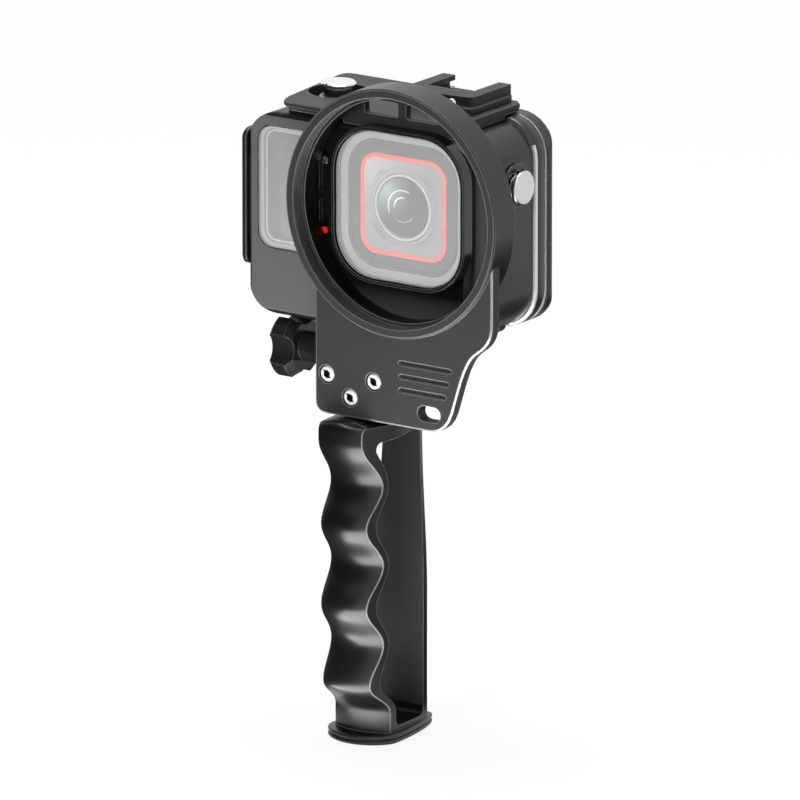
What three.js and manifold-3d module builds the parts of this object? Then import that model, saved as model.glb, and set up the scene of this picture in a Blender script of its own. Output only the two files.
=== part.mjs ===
// Underwater camera housing on a finger grip, in millimetres, +Z up.
// The origin is the middle of the grip's base. -Y is the front, where the lens looks, and +X is
// to the right as seen from the front.

import * as THREE from 'three';
import { mergeVertices } from 'three/addons/utils/BufferGeometryUtils.js';
import Module from 'manifold-3d';

const wasm = await Module();
wasm.setup();

// General fits
const GAP = 0.3;
const WALL = 3;

// Filter ring and front plate
const RING = { x: 14.6, z: 157.6, outer: 36.1, thread: 33.5, bore: 32.4, front: -16.2, back: -6.4,
	lead: 4.3 };
const RING_SIDES = 64;
const PLATE = { front: -15, thick: 4, left: -12.1, bottom: 95.8, shoulder: 48.9 };
const LANYARD_SLOT = { x: 27.3, z: 100.9, length: 8, height: 4.6 };
const PLATE_GROOVE = { x: 16.8, z: 114.4, pitch: 3.94, length: 18.3, shorten: 0.95, width: 1.5,
	depth: 0.7 };
const PLATE_SCREW = { head: 2.3, headHigh: 2.4, sink: 2.7, sinkDeep: 2.7, shank: 1.3, hole: 1.6,
	length: 9, socket: 1.2 };
const PLATE_SCREW_PLACES = { a: [ -8, 107.4 ], b: [ 0, 101.6 ], c: [ 8.1, 107.5 ] };

// Grip
const GRIP = { base: 1.2, shoulder: 91, top: 95.4, rows: 30, topRows: 5, backWall: 3, backCorner: 1 };
const GRIP_WIDTH = { y: -8, half: 9.75, taper: 0.18 };
const GRIP_CREASE = { side: 0.2, back: 0.4 };
const GRIP_CROWN = { top: 95.5, drop: 1.6, half: 9.3, roll: 2.5 };
const GRIP_LOOP = { bottom: 4.3, top: 89.3, round: 2.5, rows: 26 };
const FLANGE = { high: 2.8, front: -16.5, back: 16.9, wide: 11.5, tail: 5.5, tailCurve: 8.5, noseCurve: 5 };
const FLANGE_BEAD = { lower: 1.4, groove: 0.7, soft: 0.45 };
const BLOCK = { half: 12, front: -10.7, back: -5.8, bottom: 96, top: 111.2, corner: 1.5 };
const DECK = { top: 99.6, bottom: 94, back: 11, half: 7, corner: 2 };

// Finger mount and thumb screw
const PIVOT = { y: 2, z: 109.1, radius: 7.3, hole: 2.9, finger: 3, pitch: 3.05 };
const KNOB = { left: -34.4, right: -26.9, neckEnd: -8.2, radius: 9.7, lobes: 4, waist: 6.4,
	scoop: 5.6, neck: 4.4 };
const SHAFT = { radius: 2.5, left: -20, right: 13.6 };
const NUT = { across: 8, thick: 4, left: 7.95 };

// Housing body
const BODY = { left: -42, right: 36, bottom: 119.1, top: 178.6, front: -6, back: 28.9, corner: 11 };
const BODY_EDGE = { soft: 2.2, rightFront: 5.7 };
const RIM = { out: 1, front: 24, corner: 11.5 };
const PORT = { x: 13.3, z: 157.6, size: 46, corner: 14, front: -10.8, lip: 1.2, shelf: 4.4 };
const PANE = { thick: 2.2, sink: 0.5 };
const SCREEN = { left: -38.4, right: -18, bottom: 138.5, top: 174.7, corner: 5, ledge: 1.4, thick: 1.6 };
const LAMP = { low: 145.6, high: 147.4, side: 0.5, corner: 0.6 };
const POCKET_SCREW = { z: 167, radius: 1.1, slot: 0.2 };
const POCKET = { left: -16.9, right: -13.7, upper: [ 157.9, 170.2 ], lower: [ 143.7, 155.5 ], deep: 1.5 };
const EYELET = { x: 21.3, z: 117.5, radius: 2.5, hole: 1.2, drop: 0.6, front: 25, back: 28.4 };

// Rear door, hinge and latch
const DOOR = { front: 29.5, thick: 4, plugFront: 25.2, plugGap: 0.6, window: [ -33, 127.6, 27, 170.1 ] };
const HINGE = { x: 35, y: 31.5, radius: 2, pin: 0.75, knuckles: [ [ 135, 142 ], [ 155, 162 ] ],
	ends: [ 131, 166 ] };
const LATCH = { x: -44.2, y: 31.5, barrel: 1.6, outer: -45, inner: -43.4, front: -4.5, low: 131.8,
	high: 171.7 };
const LATCH_BARREL = { low: 139.8, high: 163.7, ear: 4 };
const LATCH_NOSE = { catch: 0.8, front: -2.6, tip: -2, hook: -0.2, slope: 6, clearance: 0.3 };

// Top bracket and cold shoe
const BRACKET = { left: -32.5, right: 27, front: -6.1, back: 32.4, under: 180.6, top: 182.2, foot: 178.9 };
const BRACKET_WALL = { thick: 2.4, radius: 34.6, left: -8.5, right: 30, low: 179.2, bend: 2.3 };
const BRACKET_SCREW = { spread: 11.7, circle: 33.4, shank: 0.6, hole: 0.9, head: 1.3, headHigh: 1.2 };
const BRACKET_WINDOWS = { bottom: 183, top: 187.2, spans: [ [ -1.1, 10.4 ], [ 13.2, 24.7 ] ] };
const SHUTTER = { x: -23.5, y: 13, hole: 8.85, wall: 0.75 };
const SHOE = { left: 0.2, right: 23.5, front: 11.5, back: 31, top: 187.1, base: 182.5, step: 184.1,
	floor: 183.4 };
const SHOE_SLOT = { side: 2.3, lip: 4.1, lipUnder: 185.6, front: 17 };
const STOP_PIN = { x: 5.5, y: 27.7, radius: 0.85, stand: 1.2 };

// Push buttons
const BUTTON = { cap: 5.1, capThick: 1.1, stem: 2.3, bore: 2.7, skirt: 4.2, skirtLow: 1.6, well: 4.5,
	sleeve: 4.9, hole: 5.2, wire: 0.35, coil: 3.3, travel: 1.8 };
const SIDE_BUTTON = { y: 14.9, z: 162.3 };
const COLLARS = { shutter: { outer: 5.95, inner: 4.5, floor: 1, high: 2.3 },
	power: { outer: 6.9, inner: 5.45, floor: 0.5, high: 1.1 } };

// Camera inside
const CAMERA = { left: -38.4, right: 32.4, bottom: 122.5, top: 174.6, front: -2.4, back: 24.6,
	corner: 8, keyWell: 4.6 };
const LENS_BLOCK = { half: 17.7, corner: 9, front: -7 };
const RED_FRAME = { half: 14.4, line: 1.1, corner: 5.5 };
const LENS = { radius: 9.3, ring: 1.1 };

const black = ( roughness ) => new THREE.MeshStandardMaterial( { color: 0x1c1c1d, roughness,
	metalness: 0.2 } );
const metal = { plate: [ 0x2c2c2d, 0.42, 0.7 ], grip: [ 0x161617, 0.35, 0.6 ],
	steel: [ 0xd4d4d2, 0.22, 1 ] };
const polymer = { grey: [ 0x9c9c9c, 0.5, 0 ], red: [ 0xd42a20, 0.5, 0 ], pale: [ 0xc4c4c2, 0.55, 0 ] };
const paint = ( [ color, roughness, metalness ] ) => new THREE.MeshStandardMaterial( { color,
	roughness, metalness } );
const clear = ( color ) => new THREE.MeshStandardMaterial( { color, roughness: 0.05,
	transparent: true, opacity: 0.35 } );

const housing = new THREE.Group();

// Turning three.js geometry into solids and back

function solid( geometry ) {

	const bare = geometry.clone();
	bare.deleteAttribute( 'normal' );
	bare.deleteAttribute( 'uv' );
	const merged = mergeVertices( bare, 1e-4 );
	const points = merged.attributes.position;
	const corners = merged.index.array;
	const kept = [];
	let volume = 0;
	const a = new THREE.Vector3();
	const b = new THREE.Vector3();
	const c = new THREE.Vector3();
	for ( let i = 0; i < corners.length; i += 3 ) {

		const [ p, q, r ] = corners.slice( i, i + 3 );
		if ( p === q || q === r || r === p ) continue;
		kept.push( p, q, r );
		a.fromBufferAttribute( points, p );
		b.fromBufferAttribute( points, q );
		c.fromBufferAttribute( points, r );
		volume += a.dot( b.cross( c ) );

	}

	const outward = volume > 0 ? kept : kept.reverse();
	const mesh = new wasm.Mesh( {
		numProp: 3,
		vertProperties: Float32Array.from( points.array ),
		triVerts: Uint32Array.from( outward ),
	} );
	return new wasm.Manifold( mesh );

}

function add( name, body, material, parent = housing ) {

	const mesh = body.getMesh();
	const geometry = new THREE.BufferGeometry();
	geometry.setAttribute( 'position', new THREE.BufferAttribute( mesh.vertProperties, 3 ) );
	geometry.setIndex( new THREE.BufferAttribute( mesh.triVerts, 1 ) );
	geometry.computeVertexNormals();
	const piece = new THREE.Mesh( geometry, material );
	piece.name = name;
	parent.add( piece );

}

const X = new THREE.Vector3( 1, 0, 0 );
const Y = new THREE.Vector3( 0, 1, 0 );
const Z = new THREE.Vector3( 0, 0, 1 );
const BACKWARD = new THREE.Vector3( 0, - 1, 0 );

function extruded( outline, depth, soft, arc ) {

	return new THREE.ExtrudeGeometry( outline, {
		depth: depth - 2 * soft,
		bevelEnabled: soft > 0,
		bevelThickness: soft,
		bevelSize: soft,
		bevelOffset: - soft,
		bevelSegments: soft > 0.5 ? 2 : 1,
		curveSegments: arc,
	} ).translate( 0, 0, soft );

}

// An outline drawn in X and Z, made solid from y0 back to y1
function backward( outline, y0, y1, soft = 0, arc = 3 ) {

	const turn = new THREE.Matrix4().makeBasis( X, Z, BACKWARD );
	return solid( extruded( outline, y1 - y0, soft, arc ).applyMatrix4( turn ).translate( 0, y1, 0 ) );

}

// An outline drawn in Y and Z, made solid from x0 to x1
function across( outline, x0, x1, soft = 0, arc = 3 ) {

	const turn = new THREE.Matrix4().makeBasis( Y, Z, X );
	return solid( extruded( outline, x1 - x0, soft, arc ).applyMatrix4( turn ).translate( x0, 0, 0 ) );

}

// An outline drawn in X and Y, made solid from z0 up to z1
function upward( outline, z0, z1, soft = 0, arc = 3 ) {

	return solid( extruded( outline, z1 - z0, soft, arc ).translate( 0, 0, z0 ) );

}

function box( x0, x1, y0, y1, z0, z1 ) {

	const block = new THREE.BoxGeometry( x1 - x0, y1 - y0, z1 - z0 );
	return solid( block.translate( ( x0 + x1 ) / 2, ( y0 + y1 ) / 2, ( z0 + z1 ) / 2 ) );

}

// A profile of radius and height pairs, turned about an axis through a point
const UPRIGHT = new THREE.Matrix4().makeBasis( Y, Z, X );
const SIDEWAYS = new THREE.Matrix4().makeBasis( Z, X, Y );
const FACING = new THREE.Matrix4();

function turned( profile, axis, at, sides ) {

	const points = profile.map( ( [ radius, height ] ) => new THREE.Vector2( radius, height ) );
	const lathe = new THREE.LatheGeometry( points, sides ).applyMatrix4( axis );
	return solid( lathe.translate( ...at ) );

}

const rodProfile = ( radius, from, to ) => [ [ 0, from ], [ radius, from ], [ radius, to ], [ 0, to ] ];

function rod( radius, from, to, axis, at, sides ) {

	return turned( rodProfile( radius, from, to ), axis, at, sides );

}

function collarProfile( inner, outer, from, to ) {

	return [ [ inner, from ], [ outer, from ], [ outer, to ], [ inner, to ], [ inner, from ] ];

}

function roundedRect( x0, y0, x1, y1, r ) {

	const shape = new THREE.Shape();
	shape.absarc( x1 - r, y1 - r, r, 0, Math.PI / 2 );
	shape.absarc( x0 + r, y1 - r, r, Math.PI / 2, Math.PI );
	shape.absarc( x0 + r, y0 + r, r, Math.PI, 1.5 * Math.PI );
	shape.absarc( x1 - r, y0 + r, r, 1.5 * Math.PI, 2 * Math.PI );
	return shape;

}

const roundedSquare = ( x, z, half, r ) => roundedRect( x - half, z - half, x + half, z + half, r );

function polygon( points ) {

	return new THREE.Shape( points.map( ( [ x, y ] ) => new THREE.Vector2( x, y ) ) );

}

// A smooth curve through pairs of height and value, level at each pair
function wave( pairs, at ) {

	const [ lowest ] = pairs;
	if ( at <= lowest[ 0 ] ) return lowest[ 1 ];
	for ( let i = 1; i < pairs.length; i ++ ) {

		const [ low, first ] = pairs[ i - 1 ];
		const [ high, second ] = pairs[ i ];
		if ( at > high ) continue;
		const ease = ( 1 - Math.cos( Math.PI * ( at - low ) / ( high - low ) ) ) / 2;
		return first + ( second - first ) * ease;

	}

	return pairs[ pairs.length - 1 ][ 1 ];

}

// Grip: a loop with three finger grooves in its front wall. Each pair is a height and a size.

const SIDE_EDGE = [ [ 9, - 8.7 ], [ 17.9, - 16.8 ], [ 29.4, - 11.5 ], [ 40.8, - 18.1 ], [ 52.8, - 11.5 ],
	[ 64.5, - 18.1 ], [ 75.9, - 11.7 ], [ 89.9, - 19.9 ] ];
const NOSE = [ [ 76, 3 ], [ 91, 1.8 ] ];
const FRONT_WALL = [ [ 9, 2.6 ], [ 17.9, 3.9 ], [ 29.4, 2.2 ], [ 40.8, 3.8 ], [ 52.8, 2.2 ],
	[ 64.5, 3.8 ], [ 75.9, 2.2 ], [ 86.8, 4.7 ] ];
const BACK_HALF = [ [ 40, 8.4 ], [ 90, 5.5 ] ];
const LOOP_BACK = [ [ 40, 9 ], [ 90, 10.4 ] ];

const sideEdge = ( z ) => wave( SIDE_EDGE, z );

// Half the grip's width at a depth and a height
function flank( y, back, z ) {

	const { y: widest, half, taper } = GRIP_WIDTH;
	if ( y < widest ) return half - taper * ( widest - y );
	return half + ( wave( BACK_HALF, z ) - half ) * ( ( y - widest ) / ( back - widest ) ) ** 1.6;

}

// How far the front leans back where it rolls over into the crowned top
function rollBack( x, z ) {

	const { top, drop, half, roll } = GRIP_CROWN;
	const start = top - drop * ( x / half ) ** 2 - roll;
	const rise = Math.min( Math.max( 0, z - start ), roll );
	return roll - Math.sqrt( roll ** 2 - rise ** 2 );

}

function gripSection( z ) {

	const { top, drop, half: crownHalf } = GRIP_CROWN;
	const reach = crownHalf * Math.sqrt( ( top - z ) / drop );
	const edge = sideEdge( z );
	const back = wave( LOOP_BACK, z ) + GRIP.backWall;
	const half = Math.min( flank( edge, back, z ), reach );
	const nose = wave( NOSE, z );
	const radius = ( half * half + nose * nose ) / ( 2 * nose );
	const frontAt = ( x ) => edge - nose + radius - Math.sqrt( radius ** 2 - x ** 2 ) + rollBack( x, z );
	const right = [];
	const noseSteps = 5;
	for ( let i = 1; i <= noseSteps; i ++ ) {

		const x = ( half - GRIP_CREASE.side ) * Math.sin( Math.PI / 2 * i / noseSteps );
		right.push( [ x, frontAt( x ) ] );

	}

	const start = frontAt( half ) + GRIP_CREASE.back;
	const end = back - GRIP.backCorner;
	const flankSteps = 3;
	for ( let i = 0; i <= flankSteps; i ++ ) {

		const y = start + ( end - start ) * i / flankSteps;
		right.push( [ Math.min( flank( y, back, z ), reach ), y ] );

	}

	right.push( [ Math.min( flank( back, back, z ), reach ) - GRIP.backCorner, back ] );
	const left = right.map( ( [ x, y ] ) => [ - x, y ] ).reverse();
	return [ [ 0, frontAt( 0 ) ], ...right, ...left ].map( ( [ x, y ] ) => [ x, y, z ] );

}

// Joins rings of points, each with the same count, into one closed skin
function loft( rings ) {

	const count = rings[ 0 ].length;
	const last = rings.length - 1;
	const points = rings.flat( 2 );
	const faces = [];
	for ( let row = 0; row < last; row ++ ) {

		for ( let i = 0; i < count; i ++ ) {

			const here = row * count + i;
			const next = row * count + ( i + 1 ) % count;
			faces.push( here, next, next + count, here, next + count, here + count );

		}

	}

	const bottom = points.length / 3;
	const top = bottom + 1;
	const middle = ( ring ) => [ 0, ring.reduce( ( sum, p ) => sum + p[ 1 ], 0 ) / count, ring[ 0 ][ 2 ] ];
	points.push( ...middle( rings[ 0 ] ), ...middle( rings[ last ] ) );
	for ( let i = 0; i < count; i ++ ) {

		const next = ( i + 1 ) % count;
		faces.push( bottom, next, i, top, last * count + i, last * count + next );

	}

	const geometry = new THREE.BufferGeometry();
	geometry.setAttribute( 'position', new THREE.Float32BufferAttribute( points, 3 ) );
	geometry.setIndex( faces );
	return solid( geometry );

}

function gripLoop() {

	const loop = new THREE.Shape();
	const { bottom, top, round, rows } = GRIP_LOOP;
	const frontEdge = ( z ) => sideEdge( z ) + wave( FRONT_WALL, z );
	const backEdge = ( z ) => wave( LOOP_BACK, z );
	const low = bottom + round;
	const high = top - round;
	loop.moveTo( frontEdge( low ), low );
	for ( let i = 1; i <= rows; i ++ ) {

		const z = low + ( high - low ) * i / rows;
		loop.lineTo( frontEdge( z ), z );

	}

	loop.quadraticCurveTo( frontEdge( high ), top, frontEdge( high ) + round, top );
	loop.lineTo( backEdge( high ) - round, top );
	loop.quadraticCurveTo( backEdge( high ), top, backEdge( high ), high );
	const backRows = 6;
	for ( let i = backRows - 1; i >= 0; i -- ) {

		const z = low + ( high - low ) * i / backRows;
		loop.lineTo( backEdge( z ), z );

	}

	loop.quadraticCurveTo( backEdge( low ), bottom, backEdge( low ) - round, bottom );
	loop.lineTo( frontEdge( low ) + round, bottom );
	loop.quadraticCurveTo( frontEdge( low ), bottom, frontEdge( low ), low );
	return across( loop, - FLANGE.wide, FLANGE.wide, 0, 3 );

}

// The flange's outline, or one drawn in from it by an inset
function flangeOutline( inset ) {

	const shape = new THREE.Shape();
	const { wide, tail, tailCurve, noseCurve } = FLANGE;
	const front = FLANGE.front + inset;
	const back = FLANGE.back - inset;
	const half = wide - inset;
	const widest = GRIP_WIDTH.y;
	const shoulder = tailCurve - inset;
	shape.moveTo( 0, front );
	shape.bezierCurveTo( half * 0.6, front, half, front + noseCurve, half, widest );
	shape.bezierCurveTo( half, 3, shoulder, back, tail, back );
	shape.lineTo( - tail, back );
	shape.bezierCurveTo( - shoulder, back, - half, 3, - half, widest );
	shape.bezierCurveTo( - half, front + noseCurve, - half * 0.6, front, 0, front );
	return shape;

}

// Two beads round the foot with a narrow groove between them
function flangeBeads() {

	const { lower, groove, soft } = FLANGE_BEAD;
	const bottom = upward( flangeOutline( 0 ), 0, lower, soft, 4 );
	const top = upward( flangeOutline( 0 ), lower, FLANGE.high, soft, 4 );
	return bottom.add( top ).add( upward( flangeOutline( groove ), soft, FLANGE.high - soft, 0, 4 ) );

}

function pivotFinger( x, low, high ) {

	const { y, z, radius, finger } = PIVOT;
	const disc = rod( radius, x - finger / 2, x + finger / 2, SIDEWAYS, [ 0, y, z ], 24 );
	const leg = box( x - finger / 2, x + finger / 2, y - radius, y + radius, low, high );
	return disc.add( leg );

}

function makeGrip() {

	const rings = [];
	for ( let i = 0; i <= GRIP.rows; i ++ ) {

		rings.push( gripSection( GRIP.base + ( GRIP.shoulder - GRIP.base ) * i / GRIP.rows ) );

	}

	for ( let i = 1; i <= GRIP.topRows; i ++ ) {

		const share = Math.sin( Math.PI / 2 * i / GRIP.topRows );
		rings.push( gripSection( GRIP.shoulder + ( GRIP.top - GRIP.shoulder ) * share ) );

	}

	let grip = loft( rings ).subtract( gripLoop() );
	grip = grip.add( flangeBeads() );
	const { half, front, back, bottom, top, corner } = BLOCK;
	const blockOutline = roundedRect( - half, bottom, half, top, corner );
	grip = grip.add( backward( blockOutline, front, back, 0, 3 ) );
	const deck = roundedRect( - DECK.half, back - 2, DECK.half, DECK.back, DECK.corner );
	grip = grip.add( upward( deck, DECK.bottom, DECK.top, 0, 3 ) );
	for ( const step of [ - 2, 0, 2 ] ) {

		grip = grip.add( pivotFinger( step * PIVOT.pitch, DECK.top - 1, PIVOT.z ) );

	}

	grip = grip.subtract( rod( PIVOT.hole, - 20, 20, SIDEWAYS, [ 0, PIVOT.y, PIVOT.z ], 20 ) );
	for ( const [ x, z ] of Object.values( PLATE_SCREW_PLACES ) ) {

		grip = grip.subtract( rod( PLATE_SCREW.hole, front - 1, front + 7, FACING, [ x, 0, z ], 12 ) );

	}

	add( 'grip_handle', grip, paint( metal.grip ) );

}

// Front plate and filter ring, one machined piece

function plateOutline() {

	const { left, bottom, shoulder } = PLATE;
	const shape = new THREE.Shape();
	shape.moveTo( left, 158 );
	shape.lineTo( left, bottom + 3.6 );
	shape.quadraticCurveTo( left, bottom, left + 3.6, bottom );
	shape.lineTo( 26, bottom );
	shape.bezierCurveTo( 30.5, bottom - 0.4, 33.8, 97.6, 35.2, 102.2 );
	shape.bezierCurveTo( 36.9, 107.4, 38.4, 113.6, 40.6, 117.4 );
	shape.bezierCurveTo( 42.3, 120.6, 44.8, 121.3, 46.3, 123 );
	shape.bezierCurveTo( 48.2, 125, shoulder, 127.4, shoulder, 130 );
	shape.lineTo( shoulder, 158 );
	return shape;

}

function ringSpan( radius, from, to ) {

	return rod( radius, from, to, FACING, [ RING.x, 0, RING.z ], RING_SIDES );

}

function makeRingPlate() {

	const { front, thick } = PLATE;
	const rear = front + thick;
	let plate = backward( plateOutline(), front, rear, 0.5, 5 );
	const rim = [ [ 0, RING.front ], [ RING.outer - 0.5, RING.front ], [ RING.outer, RING.front + 0.5 ],
		[ RING.outer, RING.back ], [ 0, RING.back ] ];
	plate = plate.add( turned( rim, FACING, [ RING.x, 0, RING.z ], RING_SIDES ) );
	plate = plate.subtract( ringSpan( RING.bore, RING.front - 1, RING.back + 1 ) );
	plate = plate.subtract( ringSpan( RING.thread, RING.front - 1, RING.front + RING.lead ) );
	const slotLong = LANYARD_SLOT.length / 2;
	const slotHigh = LANYARD_SLOT.height / 2;
	const slot = roundedRect( LANYARD_SLOT.x - slotLong, LANYARD_SLOT.z - slotHigh,
		LANYARD_SLOT.x + slotLong, LANYARD_SLOT.z + slotHigh, slotHigh );
	plate = plate.subtract( backward( slot, front - 1, rear + 1, 0, 4 ) );
	for ( const row of [ 0, 1, 2 ] ) {

		const { x, z, pitch, length, shorten, width, depth } = PLATE_GROOVE;
		const level = z - row * pitch;
		const line = roundedRect( x, level - width / 2, x + length - row * shorten, level + width / 2,
			width / 2 - 0.01 );
		plate = plate.subtract( backward( line, front - 1, front + depth, 0, 1 ) );

	}

	for ( const [ x, z ] of Object.values( PLATE_SCREW_PLACES ) ) {

		const at = [ x, 0, z ];
		plate = plate.subtract( rod( PLATE_SCREW.sink, front - 1, front + PLATE_SCREW.sinkDeep, FACING, at,
			20 ) );
		plate = plate.subtract( rod( PLATE_SCREW.hole, front, rear + 1, FACING, at, 12 ) );

	}

	add( 'ring_plate', plate, paint( metal.plate ) );

}

function makePlateScrews() {

	const { head, headHigh, sinkDeep, shank, length, socket } = PLATE_SCREW;
	const face = PLATE.front + sinkDeep - GAP - headHigh;
	for ( const [ letter, [ x, z ] ] of Object.entries( PLATE_SCREW_PLACES ) ) {

		const profile = [ [ 0, face ], [ head - 0.4, face ], [ head, face + 0.4 ], [ head, face + headHigh ],
			[ shank, face + headHigh ], [ shank, face + length ], [ 0, face + length ] ];
		const screw = turned( profile, FACING, [ x, 0, z ], 20 );
		const key = rod( socket, face - 1, face + 1.4, FACING, [ x, 0, z ], 6 );
		add( `plate_screw_${ letter }`, screw.subtract( key ), paint( metal.steel ) );

	}

}

// Thumb screw through the finger mount

function makeThumbScrew() {

	const { left, right, neckEnd, radius, lobes, waist, scoop, neck } = KNOB;
	const at = [ 0, PIVOT.y, PIVOT.z ];
	let knob = turned( [ [ 0, left ], [ radius - 1, left ], [ radius, left + 1 ], [ radius, right - 2 ],
		[ radius - 2.2, right ], [ 0, right ] ], SIDEWAYS, at, 36 );
	for ( let i = 0; i < lobes; i ++ ) {

		const angle = i * 2 * Math.PI / lobes;
		const reach = waist + scoop;
		const place = [ 0, PIVOT.y + reach * Math.cos( angle ), PIVOT.z + reach * Math.sin( angle ) ];
		knob = knob.subtract( rod( scoop, left - 1, right + 1, SIDEWAYS, place, 24 ) );

	}

	knob = knob.add( rod( neck, left + 2, neckEnd, SIDEWAYS, at, 24 ) );
	knob = knob.subtract( rod( SHAFT.radius + GAP, SHAFT.left - GAP, neckEnd + 1, SIDEWAYS, at, 14 ) );
	add( 'thumb_knob', knob, black( 0.55 ) );
	add( 'thumb_shaft', rod( SHAFT.radius, SHAFT.left, SHAFT.right, SIDEWAYS, at, 14 ), paint( metal.steel ) );
	const hex = rod( NUT.across / 2 / Math.cos( Math.PI / 6 ), NUT.left, NUT.left + NUT.thick, SIDEWAYS,
		at, 6 );
	const nut = hex.subtract( rod( SHAFT.radius + GAP, NUT.left - 1, NUT.left + NUT.thick + 1, SIDEWAYS,
		at, 16 ) );
	add( 'mount_nut', nut, paint( metal.steel ) );

}

// Housing body

function bodyBlank( inset ) {

	const left = BODY.left + inset;
	const right = BODY.right - inset;
	const bottom = BODY.bottom + inset;
	const top = BODY.top - inset;
	const front = BODY.front + inset;
	const soft = Math.max( BODY_EDGE.soft - inset, 0.6 );
	const wide = Math.max( BODY_EDGE.rightFront - inset, 1 );
	const back = BODY.back + inset;
	const face = backward( roundedRect( left, bottom, right, top, BODY.corner - inset ), front, back, 0, 4 );
	const plan = new THREE.Shape();
	plan.moveTo( left, back );
	plan.lineTo( left, front + soft );
	plan.absarc( left + soft, front + soft, soft, Math.PI, 1.5 * Math.PI );
	plan.absarc( right - wide, front + wide, wide, 1.5 * Math.PI, 2 * Math.PI );
	plan.lineTo( right, back );
	const side = new THREE.Shape();
	side.moveTo( back, bottom );
	side.lineTo( back, top );
	side.lineTo( front + soft, top );
	side.absarc( front + soft, top - soft, soft, Math.PI / 2, Math.PI );
	side.absarc( front + soft, bottom + soft, soft, Math.PI, 1.5 * Math.PI );
	return face.intersect( upward( plan, bottom - 1, top + 1, 0, 2 ) ).intersect( across( side, left - 1,
		right + 1, 0, 2 ) );

}

const rimOutline = () => roundedRect( BODY.left - RIM.out, BODY.bottom - RIM.out, BODY.right + RIM.out,
	BODY.top + RIM.out, RIM.corner );

function latchPocket() {

	const { catch: deep, front, tip, hook, slope, clearance } = LATCH_NOSE;
	const floor = BODY.left + deep + clearance;
	const outline = polygon( [ [ BODY.left - 1, front - 1.4 ], [ floor, tip - 1 ], [ floor, hook + 0.8 ],
		[ BODY.left - 1, slope + 0.4 ] ] );
	return upward( outline, LATCH_BARREL.low - 3, LATCH_BARREL.high + 3 );

}

function buttonHoles() {

	const shutter = rod( BUTTON.hole, BODY.top - WALL - 1, BODY.top + 1, UPRIGHT,
		[ SHUTTER.x, SHUTTER.y, 0 ], 24 );
	const side = rod( BUTTON.hole, BODY.right - WALL - 1, BODY.right + 1, SIDEWAYS,
		[ 0, SIDE_BUTTON.y, SIDE_BUTTON.z ], 24 );
	return shutter.add( side );

}

function makeBody() {

	let body = bodyBlank( 0 );
	body = body.add( backward( rimOutline(), RIM.front, BODY.back, 0.9, 4 ) );
	body = body.subtract( bodyBlank( WALL ) );
	const portHole = roundedSquare( PORT.x, PORT.z, PORT.size / 2 - PORT.shelf, PORT.corner - PORT.shelf );
	body = body.subtract( backward( portHole, BODY.front - 1, BODY.front + WALL + 1, 0, 4 ) );
	const { left, right, bottom, top, corner, ledge, thick } = SCREEN;
	const pane = roundedRect( left, bottom, right, top, corner );
	body = body.subtract( backward( pane, BODY.front - 1, BODY.front + thick + GAP, 0, 3 ) );
	const sight = roundedRect( left + ledge, bottom + ledge, right - ledge, top - ledge, corner - ledge );
	body = body.subtract( backward( sight, BODY.front, BODY.front + WALL + 1, 0, 3 ) );
	for ( const [ low, high ] of [ POCKET.upper, POCKET.lower ] ) {

		const pocket = roundedRect( POCKET.left, low, POCKET.right, high, 1.2 );
		body = body.subtract( backward( pocket, BODY.front - 1, BODY.front + POCKET.deep, 0, 2 ) );

	}

	for ( const side of [ - 1, 1 ] ) {

		body = body.add( pivotFingerThin( side * PIVOT.pitch ) );

	}

	body = body.subtract( rod( PIVOT.hole, - 20, 20, SIDEWAYS, [ 0, PIVOT.y, PIVOT.z ], 20 ) );
	const { x: earX, z: earZ, radius: earRadius, hole, drop, front: earFront, back: earBack } = EYELET;
	const ear = rod( earRadius, earFront, earBack, FACING, [ earX, 0, earZ ], 20 );
	const eye = rod( hole, earFront - 1, earBack + 1, FACING, [ earX, 0, earZ - drop ], 12 );
	body = body.add( ear.subtract( eye ) );
	for ( const [ low, high ] of HINGE.knuckles ) {

		const { x, y, radius } = HINGE;
		body = body.add( rod( radius, low, high, UPRIGHT, [ x, y, 0 ], 20 ) );
		body = body.add( box( x - 1.6, x + 1.2, BODY.back - 1, y, low, high ) );

	}

	body = body.subtract( rod( HINGE.pin + GAP, HINGE.ends[ 0 ], HINGE.ends[ 1 ], UPRIGHT,
		[ HINGE.x, HINGE.y, 0 ], 12 ) );
	body = body.subtract( latchPocket() ).subtract( buttonHoles() );
	add( 'housing_body', body, black( 0.5 ) );

}

// The housing's two fingers are thinner than the gaps between the grip's three
function pivotFingerThin( x ) {

	const half = PIVOT.pitch - PIVOT.finger / 2 - GAP;
	const { y, z, radius } = PIVOT;
	const disc = rod( radius, x - half, x + half, SIDEWAYS, [ 0, y, z ], 24 );
	return disc.add( box( x - half, x + half, y - radius, y + radius, z, BODY.bottom + 1 ) );

}

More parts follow.
